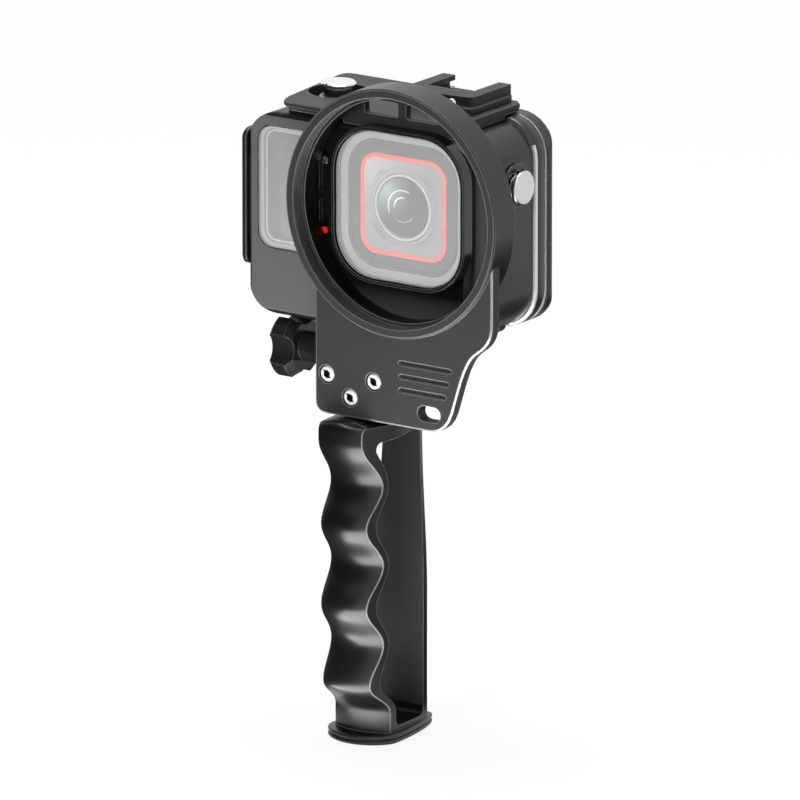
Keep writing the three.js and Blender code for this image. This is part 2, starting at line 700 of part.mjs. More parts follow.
function makePort() {

	const { x, z, size, corner, front, lip, shelf } = PORT;
	const half = size / 2;
	const rear = BODY.front - GAP;
	const paneFront = front + PANE.sink;
	const paneBack = paneFront + PANE.thick;
	const sealBack = paneBack + GAP + 0.6;
	let rim = backward( roundedSquare( x, z, half, corner ), front, rear, 0.4, 4 );
	rim = rim.subtract( backward( roundedSquare( x, z, half - lip, corner - lip ), front - 1,
		sealBack + GAP, 0, 4 ) );
	rim = rim.subtract( backward( roundedSquare( x, z, half - shelf, corner - shelf ), front, rear + 1,
		0, 4 ) );
	add( 'port_frame', rim, black( 0.25 ) );
	const inner = half - lip - GAP;
	const glass = backward( roundedSquare( x, z, inner, corner - lip - GAP ), paneFront, paneBack, 0.3, 4 );
	add( 'port_glass', glass, clear( 0xe8ecee ) );
	let seal = backward( roundedSquare( x, z, inner, corner - lip - GAP ), paneBack + GAP, sealBack, 0, 4 );
	seal = seal.subtract( backward( roundedSquare( x, z, half - shelf + GAP, corner - shelf + GAP ),
		front, rear, 0, 4 ) );
	add( 'port_seal', seal, paint( polymer.pale ) );

}

function makeFrontWindow() {

	const { left, right, bottom, top, corner, ledge, thick } = SCREEN;
	const edge = roundedRect( left + GAP, bottom + GAP, right - GAP, top - GAP, corner - GAP );
	const seat = BODY.front + thick;
	add( 'front_window', backward( edge, BODY.front - 0.2, seat - 0.6, 0.3, 4 ), clear( 0xe4e6e8 ) );
	const hole = roundedRect( left + ledge, bottom + ledge, right - ledge, top - ledge, corner - ledge );
	const seal = backward( edge, seat - 0.4, seat, 0,
		4 ).subtract( backward( hole, BODY.front, seat + 1, 0, 4 ) );
	add( 'front_window_seal', seal, paint( polymer.pale ) );

}

function makePocketPieces() {

	const middle = ( POCKET.left + POCKET.right ) / 2;
	const floor = BODY.front + POCKET.deep - GAP;
	const { low, high, side, corner } = LAMP;
	const lamp = roundedRect( POCKET.left + side, low, POCKET.right - side, high, corner );
	add( 'status_lamp', backward( lamp, floor - 1, floor, 0, 2 ), paint( polymer.red ) );
	const { z, radius, slot } = POCKET_SCREW;
	const screw = rod( radius, floor - 0.9, floor, FACING, [ middle, 0, z ], 14 );
	const key = box( middle - radius, middle + radius, floor - 2, floor - 0.5, z - slot, z + slot );
	add( 'pocket_screw', screw.subtract( key ), paint( metal.steel ) );

}

// Rear door with its window, seal, hinge pin and latch

function makeDoor() {

	const { front, thick, plugFront, plugGap, window } = DOOR;
	const back = front + thick;
	const [ x0, z0, x1, z1 ] = window;
	const left = BODY.left - RIM.out;
	const right = BODY.right + RIM.out;
	const plan = new THREE.Shape();
	const round = thick / 2;
	plan.moveTo( left, front );
	plan.lineTo( right - round, front );
	plan.absarc( right - round, front + round, round, - Math.PI / 2, Math.PI / 2 );
	plan.lineTo( left + 1, back );
	plan.lineTo( left, back - 1 );
	let door = backward( rimOutline(), front, back, 0,
		4 ).intersect( upward( plan, BODY.bottom - 2, BODY.top + 2, 0, 5 ) );
	const inset = WALL + plugGap;
	const plug = roundedRect( BODY.left + inset, BODY.bottom + inset, BODY.right - inset, BODY.top - inset,
		BODY.corner - inset );
	door = door.add( backward( plug, plugFront, front + 1, 0, 4 ) );
	const groove = roundedRect( BODY.left + inset + 1, BODY.bottom + inset + 1, BODY.right - inset - 1,
		BODY.top - inset - 1, BODY.corner - inset - 1 );
	const band = backward( plug, front - 3.1, front - 1.3, 0,
		4 ).subtract( backward( groove, front - 4, front, 0, 4 ) );
	door = door.subtract( band );
	door = door.subtract( backward( roundedRect( x0, z0, x1, z1, 5 ), plugFront - 1, back + 1, 0, 3 ) );
	const rebate = roundedRect( x0 - 1.8, z0 - 1.8, x1 + 1.8, z1 + 1.8, 6.8 );
	door = door.subtract( backward( rebate, back - 2.4, back + 1, 0, 3 ) );
	for ( const [ low, high ] of HINGE.knuckles ) {

		door = door.subtract( box( HINGE.x - 2.6, right + 1, front - 0.5, back + 1, low - GAP, high + GAP ) );

	}

	door = door.subtract( rod( HINGE.pin + GAP, HINGE.ends[ 0 ], HINGE.ends[ 1 ], UPRIGHT,
		[ HINGE.x, HINGE.y, 0 ], 12 ) );
	door = door.subtract( box( left - 1, left + 0.8, front - 1, back + 1, LATCH_BARREL.low - GAP,
		LATCH_BARREL.high + GAP ) );
	const { low, high, ear } = LATCH_BARREL;
	for ( const [ from, to ] of [ [ low - GAP - ear, low - GAP ], [ high + GAP, high + GAP + ear ] ] ) {

		door = door.add( rod( LATCH.barrel + 0.2, from, to, UPRIGHT, [ LATCH.x, LATCH.y, 0 ], 18 ) );
		door = door.add( box( LATCH.x, left + 1, front + 0.2, back - 0.2, from, to ) );

	}

	door = door.subtract( rod( HINGE.pin + GAP, low - ear, high + ear, UPRIGHT, [ LATCH.x, LATCH.y, 0 ],
		12 ) );
	add( 'rear_door', door, black( 0.5 ) );
	const pane = roundedRect( x0 - 1.5, z0 - 1.5, x1 + 1.5, z1 + 1.5, 6.5 );
	add( 'door_window', backward( pane, back - 2.1, back - 0.2, 0.3, 4 ), clear( 0xe4e6e8 ) );
	const outer = inset - GAP;
	const ring = roundedRect( BODY.left + outer, BODY.bottom + outer, BODY.right - outer, BODY.top - outer,
		BODY.corner - outer );
	const hollow = roundedRect( BODY.left + inset + 0.7, BODY.bottom + inset + 0.7, BODY.right - inset - 0.7,
		BODY.top - inset - 0.7, BODY.corner - inset - 0.7 );
	const seal = backward( ring, front - 2.8, front - 1.6, 0,
		4 ).subtract( backward( hollow, front - 4, front, 0, 4 ) );
	add( 'door_seal', seal, paint( polymer.grey ) );
	const pin = rod( HINGE.pin, HINGE.ends[ 0 ] + 0.2, HINGE.ends[ 1 ] - 0.2, UPRIGHT,
		[ HINGE.x, HINGE.y, 0 ], 12 );
	add( 'hinge_pin', pin, paint( metal.steel ) );

}

function makeLatch() {

	const { x, y, barrel, outer, inner, front, low, high } = LATCH;
	const reach = y - 4;
	let lever = across( roundedRect( front, low, reach, high, 3 ), outer, inner, 0.3, 3 );
	const neck = box( outer, inner, reach - 3, y, LATCH_BARREL.low, LATCH_BARREL.high );
	lever = lever.add( neck ).add( rod( barrel, LATCH_BARREL.low, LATCH_BARREL.high, UPRIGHT,
		[ x, y, 0 ], 18 ) );
	const deepest = BODY.left + LATCH_NOSE.catch;
	const root = inner - 0.2;
	const nose = polygon( [ [ root, LATCH_NOSE.front ], [ deepest, LATCH_NOSE.tip ],
		[ deepest, LATCH_NOSE.hook ], [ root, LATCH_NOSE.slope ] ] );
	lever = lever.add( upward( nose, LATCH_BARREL.low, LATCH_BARREL.high ) );
	lever = lever.subtract( rod( HINGE.pin + GAP, low, high, UPRIGHT, [ x, y, 0 ], 12 ) );
	add( 'latch_lever', lever, black( 0.45 ) );
	const ends = LATCH_BARREL.ear - 0.3;
	const pin = rod( HINGE.pin, LATCH_BARREL.low - ends, LATCH_BARREL.high + ends, UPRIGHT, [ x, y, 0 ], 12 );
	add( 'latch_pin', pin, paint( metal.steel ) );

}

// Top bracket and cold shoe

function makeBracket() {

	const { left, right, front, back, under, top, foot } = BRACKET;
	const sheet = new THREE.Shape();
	sheet.moveTo( left + 5.5, front );
	sheet.lineTo( right, front );
	sheet.lineTo( right, back - 2 );
	sheet.lineTo( right - 2, back );
	sheet.lineTo( left + 1.5, back );
	sheet.quadraticCurveTo( left - 2.3, back, left - 2.1, back - 4 );
	sheet.lineTo( left + 0.8, front + 6 );
	sheet.quadraticCurveTo( left + 1.6, front, left + 5.5, front );
	let plate = upward( sheet, under, top, 0.3, 4 );
	const layer = new THREE.Shape();
	layer.moveTo( left + 5.5, front + 0.7 );
	layer.lineTo( right - 0.7, front + 0.7 );
	layer.lineTo( right - 0.7, back - 2.5 );
	layer.lineTo( left - 0.5, back - 2.5 );
	layer.lineTo( left + 2, front + 5 );
	plate = plate.add( upward( layer, under - 0.9, under + 0.5 ) );
	const doorSide = BODY.back - 6;
	plate = plate.add( box( right - 2.4, right, front, doorSide, foot, top - 0.4 ) );
	plate = plate.add( box( right - 2.4, right, doorSide - 1, back - 2.5, RIM.out + BODY.top + 0.4,
		top - 0.4 ) );
	plate = plate.add( box( left + 1.5, left + 3.5, front + 5, doorSide, foot, top - 0.4 ) );
	const ledge = front + 3;
	plate = plate.add( box( left + 3, BRACKET_WALL.left + 1, ledge, ledge + 2, foot, top - 0.4 ) );
	plate = plate.add( box( BRACKET_WALL.left, right - 1, front, front + 2, foot, top - 0.4 ) );
	const wall = new THREE.Shape();
	const arcAt = ( x ) => RING.z + Math.sqrt( BRACKET_WALL.radius ** 2 - ( x - RING.x ) ** 2 );
	wall.moveTo( BRACKET_WALL.left, BRACKET_WALL.low );
	wall.lineTo( BRACKET_WALL.right, BRACKET_WALL.low );
	const steps = 16;
	for ( let i = 0; i <= steps; i ++ ) {

		const x = BRACKET_WALL.right + ( BRACKET_WALL.left - BRACKET_WALL.right ) * i / steps;
		wall.lineTo( x, arcAt( x ) );

	}

	const bend = roundedRect( BRACKET_WALL.left, front, BRACKET_WALL.right, front + 10, BRACKET_WALL.bend );
	const raised = backward( wall, front, front + BRACKET_WALL.thick );
	plate = plate.add( raised.intersect( upward( bend, foot - 1, top + 20, 0, 3 ) ) );
	for ( const [ x0, x1 ] of BRACKET_WINDOWS.spans ) {

		const window = roundedRect( x0, BRACKET_WINDOWS.bottom, x1, BRACKET_WINDOWS.top, 0.8 );
		plate = plate.subtract( backward( window, front - 1, front + 6, 0, 2 ) );

	}

	const around = [ SHUTTER.x, SHUTTER.y, 0 ];
	plate = plate.add( rod( SHUTTER.hole + SHUTTER.wall, foot, top - 0.4, UPRIGHT, around, 28 ) );
	plate = plate.subtract( rod( SHUTTER.hole, foot - 1, top + 1, UPRIGHT, around, 28 ) );
	for ( const x of bracketScrewPlaces() ) {

		const hole = rod( BRACKET_SCREW.hole, front - 1, front + 4, FACING,
			[ x, 0, bracketScrewHeight( x ) ], 12 );
		plate = plate.subtract( hole );

	}

	add( 'top_bracket', plate, paint( metal.plate ) );

}

const bracketScrewPlaces = () => [ RING.x - BRACKET_SCREW.spread, RING.x + BRACKET_SCREW.spread ];
const bracketScrewHeight = ( x ) => RING.z + Math.sqrt( BRACKET_SCREW.circle ** 2 - ( x - RING.x ) ** 2 );

function makeBracketScrews() {

	const face = BRACKET.front + BRACKET_WALL.thick + GAP;
	const sides = [ 'left', 'right' ];
	bracketScrewPlaces().forEach( ( x, i ) => {

		const { shank, head, headHigh } = BRACKET_SCREW;
		const tip = RING.back + GAP;
		const profile = [ [ 0, tip ], [ shank, tip ], [ shank, face ], [ head, face ],
			[ head, face + headHigh ], [ 0, face + headHigh ] ];
		const screw = turned( profile, FACING, [ x, 0, bracketScrewHeight( x ) ], 14 );
		add( `bracket_screw_${ sides[ i ] }`, screw, paint( metal.steel ) );

	} );

}

function makeShoe() {

	const { left, right, front, back, top, base, step, floor } = SHOE;
	const middle = ( left + right ) / 2;
	const rails = new THREE.Shape();
	rails.moveTo( left, back );
	rails.lineTo( left, front + 1.6 );
	rails.quadraticCurveTo( left, front, left + 2, front );
	rails.quadraticCurveTo( middle, front - 1.6, right - 2, front );
	rails.quadraticCurveTo( right, front, right, front + 1.6 );
	rails.lineTo( right, back );
	const skirt = roundedRect( left - 1, front - 1.6, right + 1, back, 1.5 );
	let shoe = upward( rails, base, top, 0, 4 ).add( upward( skirt, base, step, 0, 3 ) );
	const { side, lip, lipUnder, front: slotFront } = SHOE_SLOT;
	shoe = shoe.subtract( box( left + side, right - side, slotFront - 2, back + 1, floor, lipUnder ) );
	shoe = shoe.subtract( box( left + lip, right - lip, slotFront, back + 1, floor, top + 1 ) );
	const pinPlace = [ STOP_PIN.x, STOP_PIN.y, 0 ];
	shoe = shoe.subtract( rod( STOP_PIN.radius + GAP, base - 1, floor + 1, UPRIGHT, pinPlace, 12 ) );
	add( 'cold_shoe', shoe, paint( metal.plate ) );
	const pin = rod( STOP_PIN.radius, base, floor + STOP_PIN.stand, UPRIGHT, pinPlace, 12 );
	add( 'shoe_stop_pin', pin, paint( metal.steel ) );

}

// A push button through a wall whose outer face is at height 0, pointing up

function makeButton( label, place, reach ) {

	const { cap, capThick, stem, bore, skirt, skirtLow, well, sleeve, wire, coil } = BUTTON;
	const { outer, inner, floor, high } = COLLARS[ label ];
	const capUnder = reach - capThick;
	const inside = - WALL - 1;
	const seat = - 0.6;
	const groove = - 1.6;
	const button = [ [ 0, inside ], [ stem, inside ], [ stem, inside + 0.3 ], [ stem - 0.5, inside + 0.3 ],
		[ stem - 0.5, inside + 0.9 ], [ stem, inside + 0.9 ],
		[ stem, groove - 0.5 ], [ stem - 0.6, groove - 0.5 ],
		[ stem - 0.6, groove + 0.5 ], [ stem, groove + 0.5 ], [ stem, capUnder ], [ skirt - 0.4, capUnder ],
		[ skirt - 0.4, skirtLow ], [ skirt, skirtLow ], [ skirt, capUnder ], [ cap - 0.3, capUnder ],
		[ cap, capUnder + 0.3 ], [ cap, reach - 0.4 ], [ cap - 0.5, reach ], [ 0, reach ] ];
	add( `${ label }_button`, turned( button, UPRIGHT, [ 0, 0, 0 ], 18 ), paint( metal.steel ), place );
	const collar = [ [ bore, - WALL + 0.2 ], [ sleeve, - WALL + 0.2 ], [ sleeve, GAP ], [ outer, GAP ],
		[ outer, high - 0.4 ], [ outer - 0.4, high ], [ inner, high ], [ inner, floor ], [ well, floor - 0.1 ],
		[ well, seat ], [ bore, seat ], [ bore, - WALL + 0.2 ] ];
	add( `${ label }_collar`, turned( collar, UPRIGHT, [ 0, 0, 0 ], 20 ), paint( metal.steel ), place );
	const ring = new THREE.TorusGeometry( stem - 0.1, 0.4, 5, 12 ).translate( 0, 0, groove );
	add( `${ label }_o_ring`, solid( ring ), black( 0.7 ), place );
	const clipLow = inside + 0.4;
	const clip = turned( collarProfile( stem - 0.3, stem + 1.4, clipLow, clipLow + 0.4 ), UPRIGHT,
		[ 0, 0, 0 ], 16 );
	const mouth = box( 0, stem + 3, - 1.2, 1.2, clipLow - 1, clipLow + 2 );
	add( `${ label }_clip`, clip.subtract( mouth ), paint( metal.steel ), place );
	add( `${ label }_spring`, spring( coil, wire, seat + GAP, capUnder - GAP ), paint( metal.steel ), place );

}

function spring( radius, wire, from, to ) {

	class Helix extends THREE.Curve {

		getPoint( t, target = new THREE.Vector3() ) {

			const angle = t * turns * 2 * Math.PI;
			const rise = from + wire + ( to - from - 2 * wire ) * t;
			return target.set( radius * Math.cos( angle ), radius * Math.sin( angle ), rise );

		}

	}

	const turns = 3;
	const section = new THREE.Shape().absarc( 0, 0, wire, 0, 2 * Math.PI );
	return solid( new THREE.ExtrudeGeometry( section, {
		extrudePath: new Helix(), steps: turns * 8, curveSegments: 2,
	} ) );

}

function makeButtons() {

	const shutter = new THREE.Group();
	shutter.position.set( SHUTTER.x, SHUTTER.y, BODY.top );
	const power = new THREE.Group();
	power.position.set( BODY.right, SIDE_BUTTON.y, SIDE_BUTTON.z );
	power.rotation.y = Math.PI / 2;
	housing.add( shutter, power );
	makeButton( 'shutter', shutter, 6.4 );
	makeButton( 'power', power, 3.6 );

}

// Camera carried inside

function makeCamera() {

	const { left, right, bottom, top, front, back, corner, keyWell } = CAMERA;
	let camera = backward( roundedRect( left, bottom, right, top, corner ), front, back, 1.2, 4 );
	const press = WALL + 1 + BUTTON.travel + 0.2;
	camera = camera.subtract( rod( keyWell, BODY.top - press, top + 1, UPRIGHT,
		[ SHUTTER.x, SHUTTER.y, 0 ], 20 ) );
	camera = camera.subtract( rod( keyWell, BODY.right - press, right + 1, SIDEWAYS,
		[ 0, SIDE_BUTTON.y, SIDE_BUTTON.z ], 20 ) );
	add( 'camera_body', camera, black( 0.6 ) );
	const { x, z } = PORT;
	const { half, corner: blockCorner, front: blockFront } = LENS_BLOCK;
	let block = backward( roundedSquare( x, z, half, blockCorner ), blockFront, front - GAP, 0.5, 3 );
	const frameBand = backward( roundedSquare( x, z, RED_FRAME.half + GAP, RED_FRAME.corner + GAP ),
		blockFront - 1, blockFront + 0.9, 0, 4 );
	const frameCore = backward( roundedSquare( x, z, RED_FRAME.half - RED_FRAME.line - GAP,
		RED_FRAME.corner - RED_FRAME.line - GAP ), blockFront - 1, blockFront + 1, 0, 4 );
	block = block.subtract( frameBand.subtract( frameCore ) );
	block = block.subtract( rod( LENS.radius + GAP, blockFront - 1, blockFront + 3, FACING, [ x, 0, z ],
		32 ) );
	add( 'camera_lens_block', block, paint( polymer.grey ) );
	const outer = backward( roundedSquare( x, z, RED_FRAME.half, RED_FRAME.corner ), blockFront,
		blockFront + 0.6, 0, 4 );
	const inner = roundedSquare( x, z, RED_FRAME.half - RED_FRAME.line, RED_FRAME.corner - RED_FRAME.line );
	const hole = backward( inner, blockFront - 1, blockFront + 2, 0, 4 );
	add( 'camera_red_frame', outer.subtract( hole ), paint( polymer.red ) );
	const barrel = collarProfile( LENS.radius - LENS.ring, LENS.radius, blockFront - 0.2, blockFront + 2.7 );
	add( 'camera_lens_ring', turned( barrel, FACING, [ x, 0, z ], 32 ), paint( metal.steel ) );
	const rim = LENS.radius - LENS.ring - GAP;
	const dome = [ [ 0, blockFront - 0.1 ], [ rim * 0.4, blockFront + 0.1 ], [ rim * 0.75, blockFront + 0.6 ],
		[ rim, blockFront + 1.4 ], [ rim, blockFront + 2.6 ], [ 0, blockFront + 2.6 ] ];
	add( 'camera_lens', turned( dome, FACING, [ x, 0, z ], 24 ), clear( 0x404848 ) );
	const sight = roundedRect( SCREEN.left + 5.8, SCREEN.bottom + 3, SCREEN.right - 2, SCREEN.top - 3.6, 3 );
	add( 'camera_front_screen', backward( sight, front - GAP - 0.8, front - GAP, 0, 3 ),
		paint( polymer.pale ) );
	const [ x0, z0, x1, z1 ] = DOOR.window;
	const screen = roundedRect( x0 + 2, z0 + 2, x1 - 2, z1 - 2, 3 );
	add( 'camera_rear_screen', backward( screen, back + GAP, back + GAP + 1, 0, 3 ), black( 0.2 ) );

}

makeGrip();
makeRingPlate();
makePlateScrews();
makeThumbScrew();
makeBody();
makePort();
makeFrontWindow();
makePocketPieces();
makeDoor();
makeLatch();
makeBracket();
makeBracketScrews();
makeShoe();
makeButtons();
makeCamera();

export default housing;
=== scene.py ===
"""Underwater camera housing on a finger grip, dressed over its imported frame.

The origin is the middle of the grip's foot, +Z is up, -Y is the front, where the lens looks,
and +X is to the right in a view from the front. The stage is in metres. The sizes of the
pieces are in millimetres, and MM turns them into metres.
"""

import math

import bmesh
import bpy
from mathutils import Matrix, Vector


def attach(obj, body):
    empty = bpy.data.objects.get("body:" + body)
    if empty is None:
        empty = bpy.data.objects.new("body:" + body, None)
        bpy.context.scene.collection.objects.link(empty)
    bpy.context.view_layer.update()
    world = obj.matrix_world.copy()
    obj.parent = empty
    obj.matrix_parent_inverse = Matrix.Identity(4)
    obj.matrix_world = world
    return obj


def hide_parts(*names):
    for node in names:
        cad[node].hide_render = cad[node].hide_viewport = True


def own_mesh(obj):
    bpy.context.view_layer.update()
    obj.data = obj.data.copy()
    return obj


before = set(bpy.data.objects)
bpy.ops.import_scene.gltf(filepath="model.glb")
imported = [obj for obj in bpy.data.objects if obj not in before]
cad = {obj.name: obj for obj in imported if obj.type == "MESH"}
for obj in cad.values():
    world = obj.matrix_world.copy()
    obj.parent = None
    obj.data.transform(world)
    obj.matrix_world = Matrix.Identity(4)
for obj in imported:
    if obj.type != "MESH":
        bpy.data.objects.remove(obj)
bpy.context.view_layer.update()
scene = bpy.context.scene
MM = 0.001


# Stage
# White paper, soft studio lamps and black cards that only reflections see. A long lens looks
# from 35 degrees round to the right and 15 degrees from above.

VIEW_AZIMUTH = math.radians(35)
VIEW_ELEVATION = math.radians(15)
VIEW_DISTANCE = 5.0
VIEW_CENTRE = Vector((2.7, 5.9, 96.8)) * MM
PIXELS_PER_METRE = 3520
PHOTO_WIDTH = 800
SENSOR_MM = 36
AMBIENT = (0.12, 0.12, 0.125, 1)
WHITE = (1, 1, 1, 1)
FLOOR_DROP = 0.0002
FLOOR_GLOW = 1.05
FLOOR_GLOW_SHARE = 0.85
CARD_HEIGHT = 1.3
CARD_LIFT = 0.002


def add_node(tree, kind, inputs=None, **settings):
    """A new node with its settings, and with its inputs set, or linked where they come from a node."""
    node = tree.nodes.new(kind)
    for setting, value in settings.items():
        setattr(node, setting, value)
    for label, value in (inputs or {}).items():
        if isinstance(value, bpy.types.NodeSocket):
            tree.links.new(value, node.inputs[label])
        else:
            node.inputs[label].default_value = value
    return node


def calculate(tree, operation, first, second=0):
    return add_node(tree, "ShaderNodeMath", {0: first, 1: second}, operation=operation).outputs[0]


def grey(level):
    return level, level, level


def new_material(name, inputs):
    """A material with some of its shader's inputs set."""
    material = bpy.data.materials.new(name)
    material.use_nodes = True
    for label, value in inputs.items():
        material.node_tree.nodes["Principled BSDF"].inputs[label].default_value = value
    return material


def make_camera():
    towards = Vector((
        -math.sin(VIEW_AZIMUTH) * math.cos(VIEW_ELEVATION),
        math.cos(VIEW_AZIMUTH) * math.cos(VIEW_ELEVATION),
        -math.sin(VIEW_ELEVATION),
    ))
    lens = bpy.data.cameras.new("long_lens")
    lens.sensor_width = SENSOR_MM
    lens.lens = PIXELS_PER_METRE * VIEW_DISTANCE / PHOTO_WIDTH * SENSOR_MM
    lens.clip_end = 50
    camera = bpy.data.objects.new("camera", lens)
    camera.location = VIEW_CENTRE - towards * VIEW_DISTANCE
    camera.rotation_euler = towards.to_track_quat("-Z", "Y").to_euler()
    scene.collection.objects.link(camera)
    scene.camera = camera


def make_lamp(name, place, aim, width, height, power, mirrored=True):
    """A soft rectangular lamp, which glossy surfaces may mirror."""
    lamp = bpy.data.lights.new(name, "AREA")
    lamp.shape = "RECTANGLE"
    lamp.size = width
    lamp.size_y = height
    lamp.energy = power
    holder = bpy.data.objects.new(name, lamp)
    holder.location = place
    holder.rotation_euler = (Vector(aim) - Vector(place)).to_track_quat("-Z", "Y").to_euler()
    holder.visible_camera = False
    holder.visible_glossy = mirrored
    scene.collection.objects.link(holder)


def where_seen(tree):
    """1 for what the lens sees, also in a mirror or through a pane, and 0 for light on the object."""
    path = add_node(tree, "ShaderNodeLightPath").outputs
    mirrored = calculate(tree, "MAXIMUM", path["Is Glossy Ray"], path["Is Transmission Ray"])
    return calculate(tree, "MAXIMUM", path["Is Camera Ray"], mirrored)


def make_world():
    world = bpy.data.worlds.new("studio")
    scene.world = world
    world.use_nodes = True
    tree = world.node_tree
    tree.nodes.clear()
    dim = add_node(tree, "ShaderNodeBackground", {"Color": AMBIENT}).outputs[0]
    white = add_node(tree, "ShaderNodeBackground", {"Color": WHITE}).outputs[0]
    mix = add_node(tree, "ShaderNodeMixShader", {0: where_seen(tree), 1: dim, 2: white})
    add_node(tree, "ShaderNodeOutputWorld", {"Surface": mix.outputs[0]})


def make_floor():
    """Paper that mostly shines by itself where it is seen, so that it stays white round the shadow."""
    bpy.ops.mesh.primitive_plane_add(size=3, location=(0, 0.6, -FLOOR_DROP))
    floor = bpy.context.object
    floor.name = "floor"
    paper = new_material("floor_paper", {"Base Color": (*grey(0.86), 1), "Roughness": 0.9})
    tree = paper.node_tree
    lit = tree.nodes["Principled BSDF"].outputs[0]
    glow = add_node(tree, "ShaderNodeEmission", {"Strength": FLOOR_GLOW}).outputs[0]
    share = calculate(tree, "MULTIPLY", where_seen(tree), FLOOR_GLOW_SHARE)
    mix = add_node(tree, "ShaderNodeMixShader", {0: share, 1: lit, 2: glow})
    tree.links.new(mix.outputs[0], tree.nodes["Material Output"].inputs["Surface"])
    floor.data.materials.append(paper)


def upright(start, end):
    """Corners of a card that stands on the floor between two places."""
    return [(*start, 0), (*end, 0), (*end, CARD_HEIGHT), (*start, CARD_HEIGHT)]


def lying(left, front, right, back):
    """Corners of a card that lies just over the floor."""
    return [(x, y, CARD_LIFT) for x, y in ((left, front), (right, front), (right, back), (left, back))]


def make_flag(name, corners):
    """A black card that only reflections see, as a studio sets beside a glossy black object."""
    card = bpy.data.meshes.new(name)
    card.from_pydata(corners, [], [(0, 1, 2, 3)])
    card.materials.append(new_material(f"{name}_felt", {"Base Color": (*grey(0.01), 1), "Roughness": 1}))
    flag = bpy.data.objects.new(name, card)
    flag.visible_camera = False
    flag.visible_diffuse = False
    flag.visible_transmission = False
    flag.visible_shadow = False
    scene.collection.objects.link(flag)


scene.view_settings.view_transform = "Standard"
make_camera()
make_world()
make_floor()
make_flag("flag_front", upright((-1.1, 0.25), (-0.55, -0.75)))
make_flag("flag_side", upright((-0.55, -0.75), (0.2, -0.95)))
make_flag("flag_floor_front", lying(-0.75, -0.98, 0.2, -0.19))
make_flag("flag_floor_left", lying(-1.1, -0.19, -0.025, 0.3))
make_flag("flag_floor_back", lying(0, 0.02, 0.26, 0.32))
make_lamp("top_softbox", place=(-0.15, 0.15, 1.3), aim=(0, 0, 0.12), width=0.7, height=0.7, power=15)
make_lamp("front_softbox", place=(-0.05, -1.3, 0.45), aim=(0, 0, 0.10), width=0.5, height=0.7, power=11,
          mirrored=False)
make_lamp("right_strip", place=(1.15, -0.1, 0.30), aim=(0, 0, 0.12), width=0.12, height=0.9, power=0.4)
make_lamp("light_table", place=(0.055, -0.085, 0.003), aim=(0.055, -0.085, 1), width=0.16, height=0.125,
          power=0.52)


# Housing body
# An injection-moulded box of black plastic with a thick rim at the back, two mounting fingers
# under it and pockets beside the port. Its front is satin, and its sides are darker and glossier.

RING_X = 14.6
RING_Z = 157.6
RIM_CHAMFER_FRONT = 23.9
RIM_CHAMFER_BACK = 25
RIM_CHAMFER_TOP = 172
# Where the housing front inside the ring is glossy and painted with shade, and the heights over which that
# painted shade fades.
GLOSS_AND_SHADE_RADIUS = 35.2
GLOSS_AND_SHADE_RADIUS_BLEND = 0.6
GLOSS_AND_SHADE_DEPTH = 3
GLOSS_AND_SHADE_DEPTH_BLEND = 0.5
SHADE_FADE_LOW = 121
SHADE_FADE_HIGH = 133
SHARP_EDGE = 28
WELD_DISTANCE = 1e-6
SMEARS_PER_METRE = 160
GRAIN_DEPTH = 0.03
EDGE_HIGHLIGHT_STARTS = 0.985
EDGE_HIGHLIGHT_FULL = 0.90


def soft_edges():
    """A node group that welds a CAD node's corners and shades it smooth, except over its real edges."""
    tree = bpy.data.node_groups.new("soft_edges", "GeometryNodeTree")
    for way in ("INPUT", "OUTPUT"):
        tree.interface.new_socket("Geometry", in_out=way, socket_type="NodeSocketGeometry")
    start = add_node(tree, "NodeGroupInput").outputs[0]
    weld = add_node(tree, "GeometryNodeMergeByDistance", {"Geometry": start, "Distance": WELD_DISTANCE})
    angle = add_node(tree, "GeometryNodeInputMeshEdgeAngle").outputs["Unsigned Angle"]
    gentle = add_node(tree, "FunctionNodeCompare", {"A": angle, "B": math.radians(SHARP_EDGE)},
                      operation="LESS_THAN")
    faces = add_node(tree, "GeometryNodeSetShadeSmooth", {"Geometry": weld.outputs[0]}, domain="FACE")
    edges = add_node(tree, "GeometryNodeSetShadeSmooth",
                     {"Geometry": faces.outputs[0], "Shade Smooth": gentle.outputs[0]}, domain="EDGE")
    add_node(tree, "NodeGroupOutput", {0: edges.outputs[0]})
    return tree


SOFT_EDGES = soft_edges()


def dress(node, material):
    """Gives a CAD node its finish and its smooth shading."""
    piece = cad[node]
    piece.data.materials.clear()
    piece.data.materials.append(material)
    piece.modifiers.new("soft_edges", "NODES").node_group = SOFT_EDGES


def paint(piece, material, chosen):
    """Gives some faces a second finish, picked by their centre in millimetres and their normal."""
    piece.data.materials.append(material)
    for face in piece.data.polygons:
        if chosen(face.center / MM, face.normal):
            face.material_index = len(piece.data.materials) - 1


def fade(tree, value, start, stop, low=0, high=1):
    """Goes from low to high as a value goes from start to stop."""
    inputs = {"Value": value, "From Min": start, "From Max": stop, "To Min": low, "To Max": high}
    return add_node(tree, "ShaderNodeMapRange", inputs).outputs["Result"]


def blend(tree, share, first, second):
    """A colour that goes from the first to the second as a share goes from 0 to 1."""
    return add_node(tree, "ShaderNodeMix", {"Factor": share, "A": first, "B": second},
                    data_type="RGBA").outputs["Result"]


def here(tree):
    """The place of a point on its piece, in metres."""
    return tree.nodes["Texture Coordinate"].outputs["Object"]


def from_axis(tree, x, z):
    """Distance in metres from a line that runs front to back at a place in millimetres."""
    aim = add_node(tree, "ShaderNodeMapping", {"Vector": here(tree), "Location": (-x * MM, 0, -z * MM)})
    flat = add_node(tree, "ShaderNodeVectorMath", {0: aim.outputs[0], 1: (1, 0, 1)}, operation="MULTIPLY")
    return add_node(tree, "ShaderNodeVectorMath", {0: flat.outputs[0]}, operation="LENGTH").outputs["Value"]


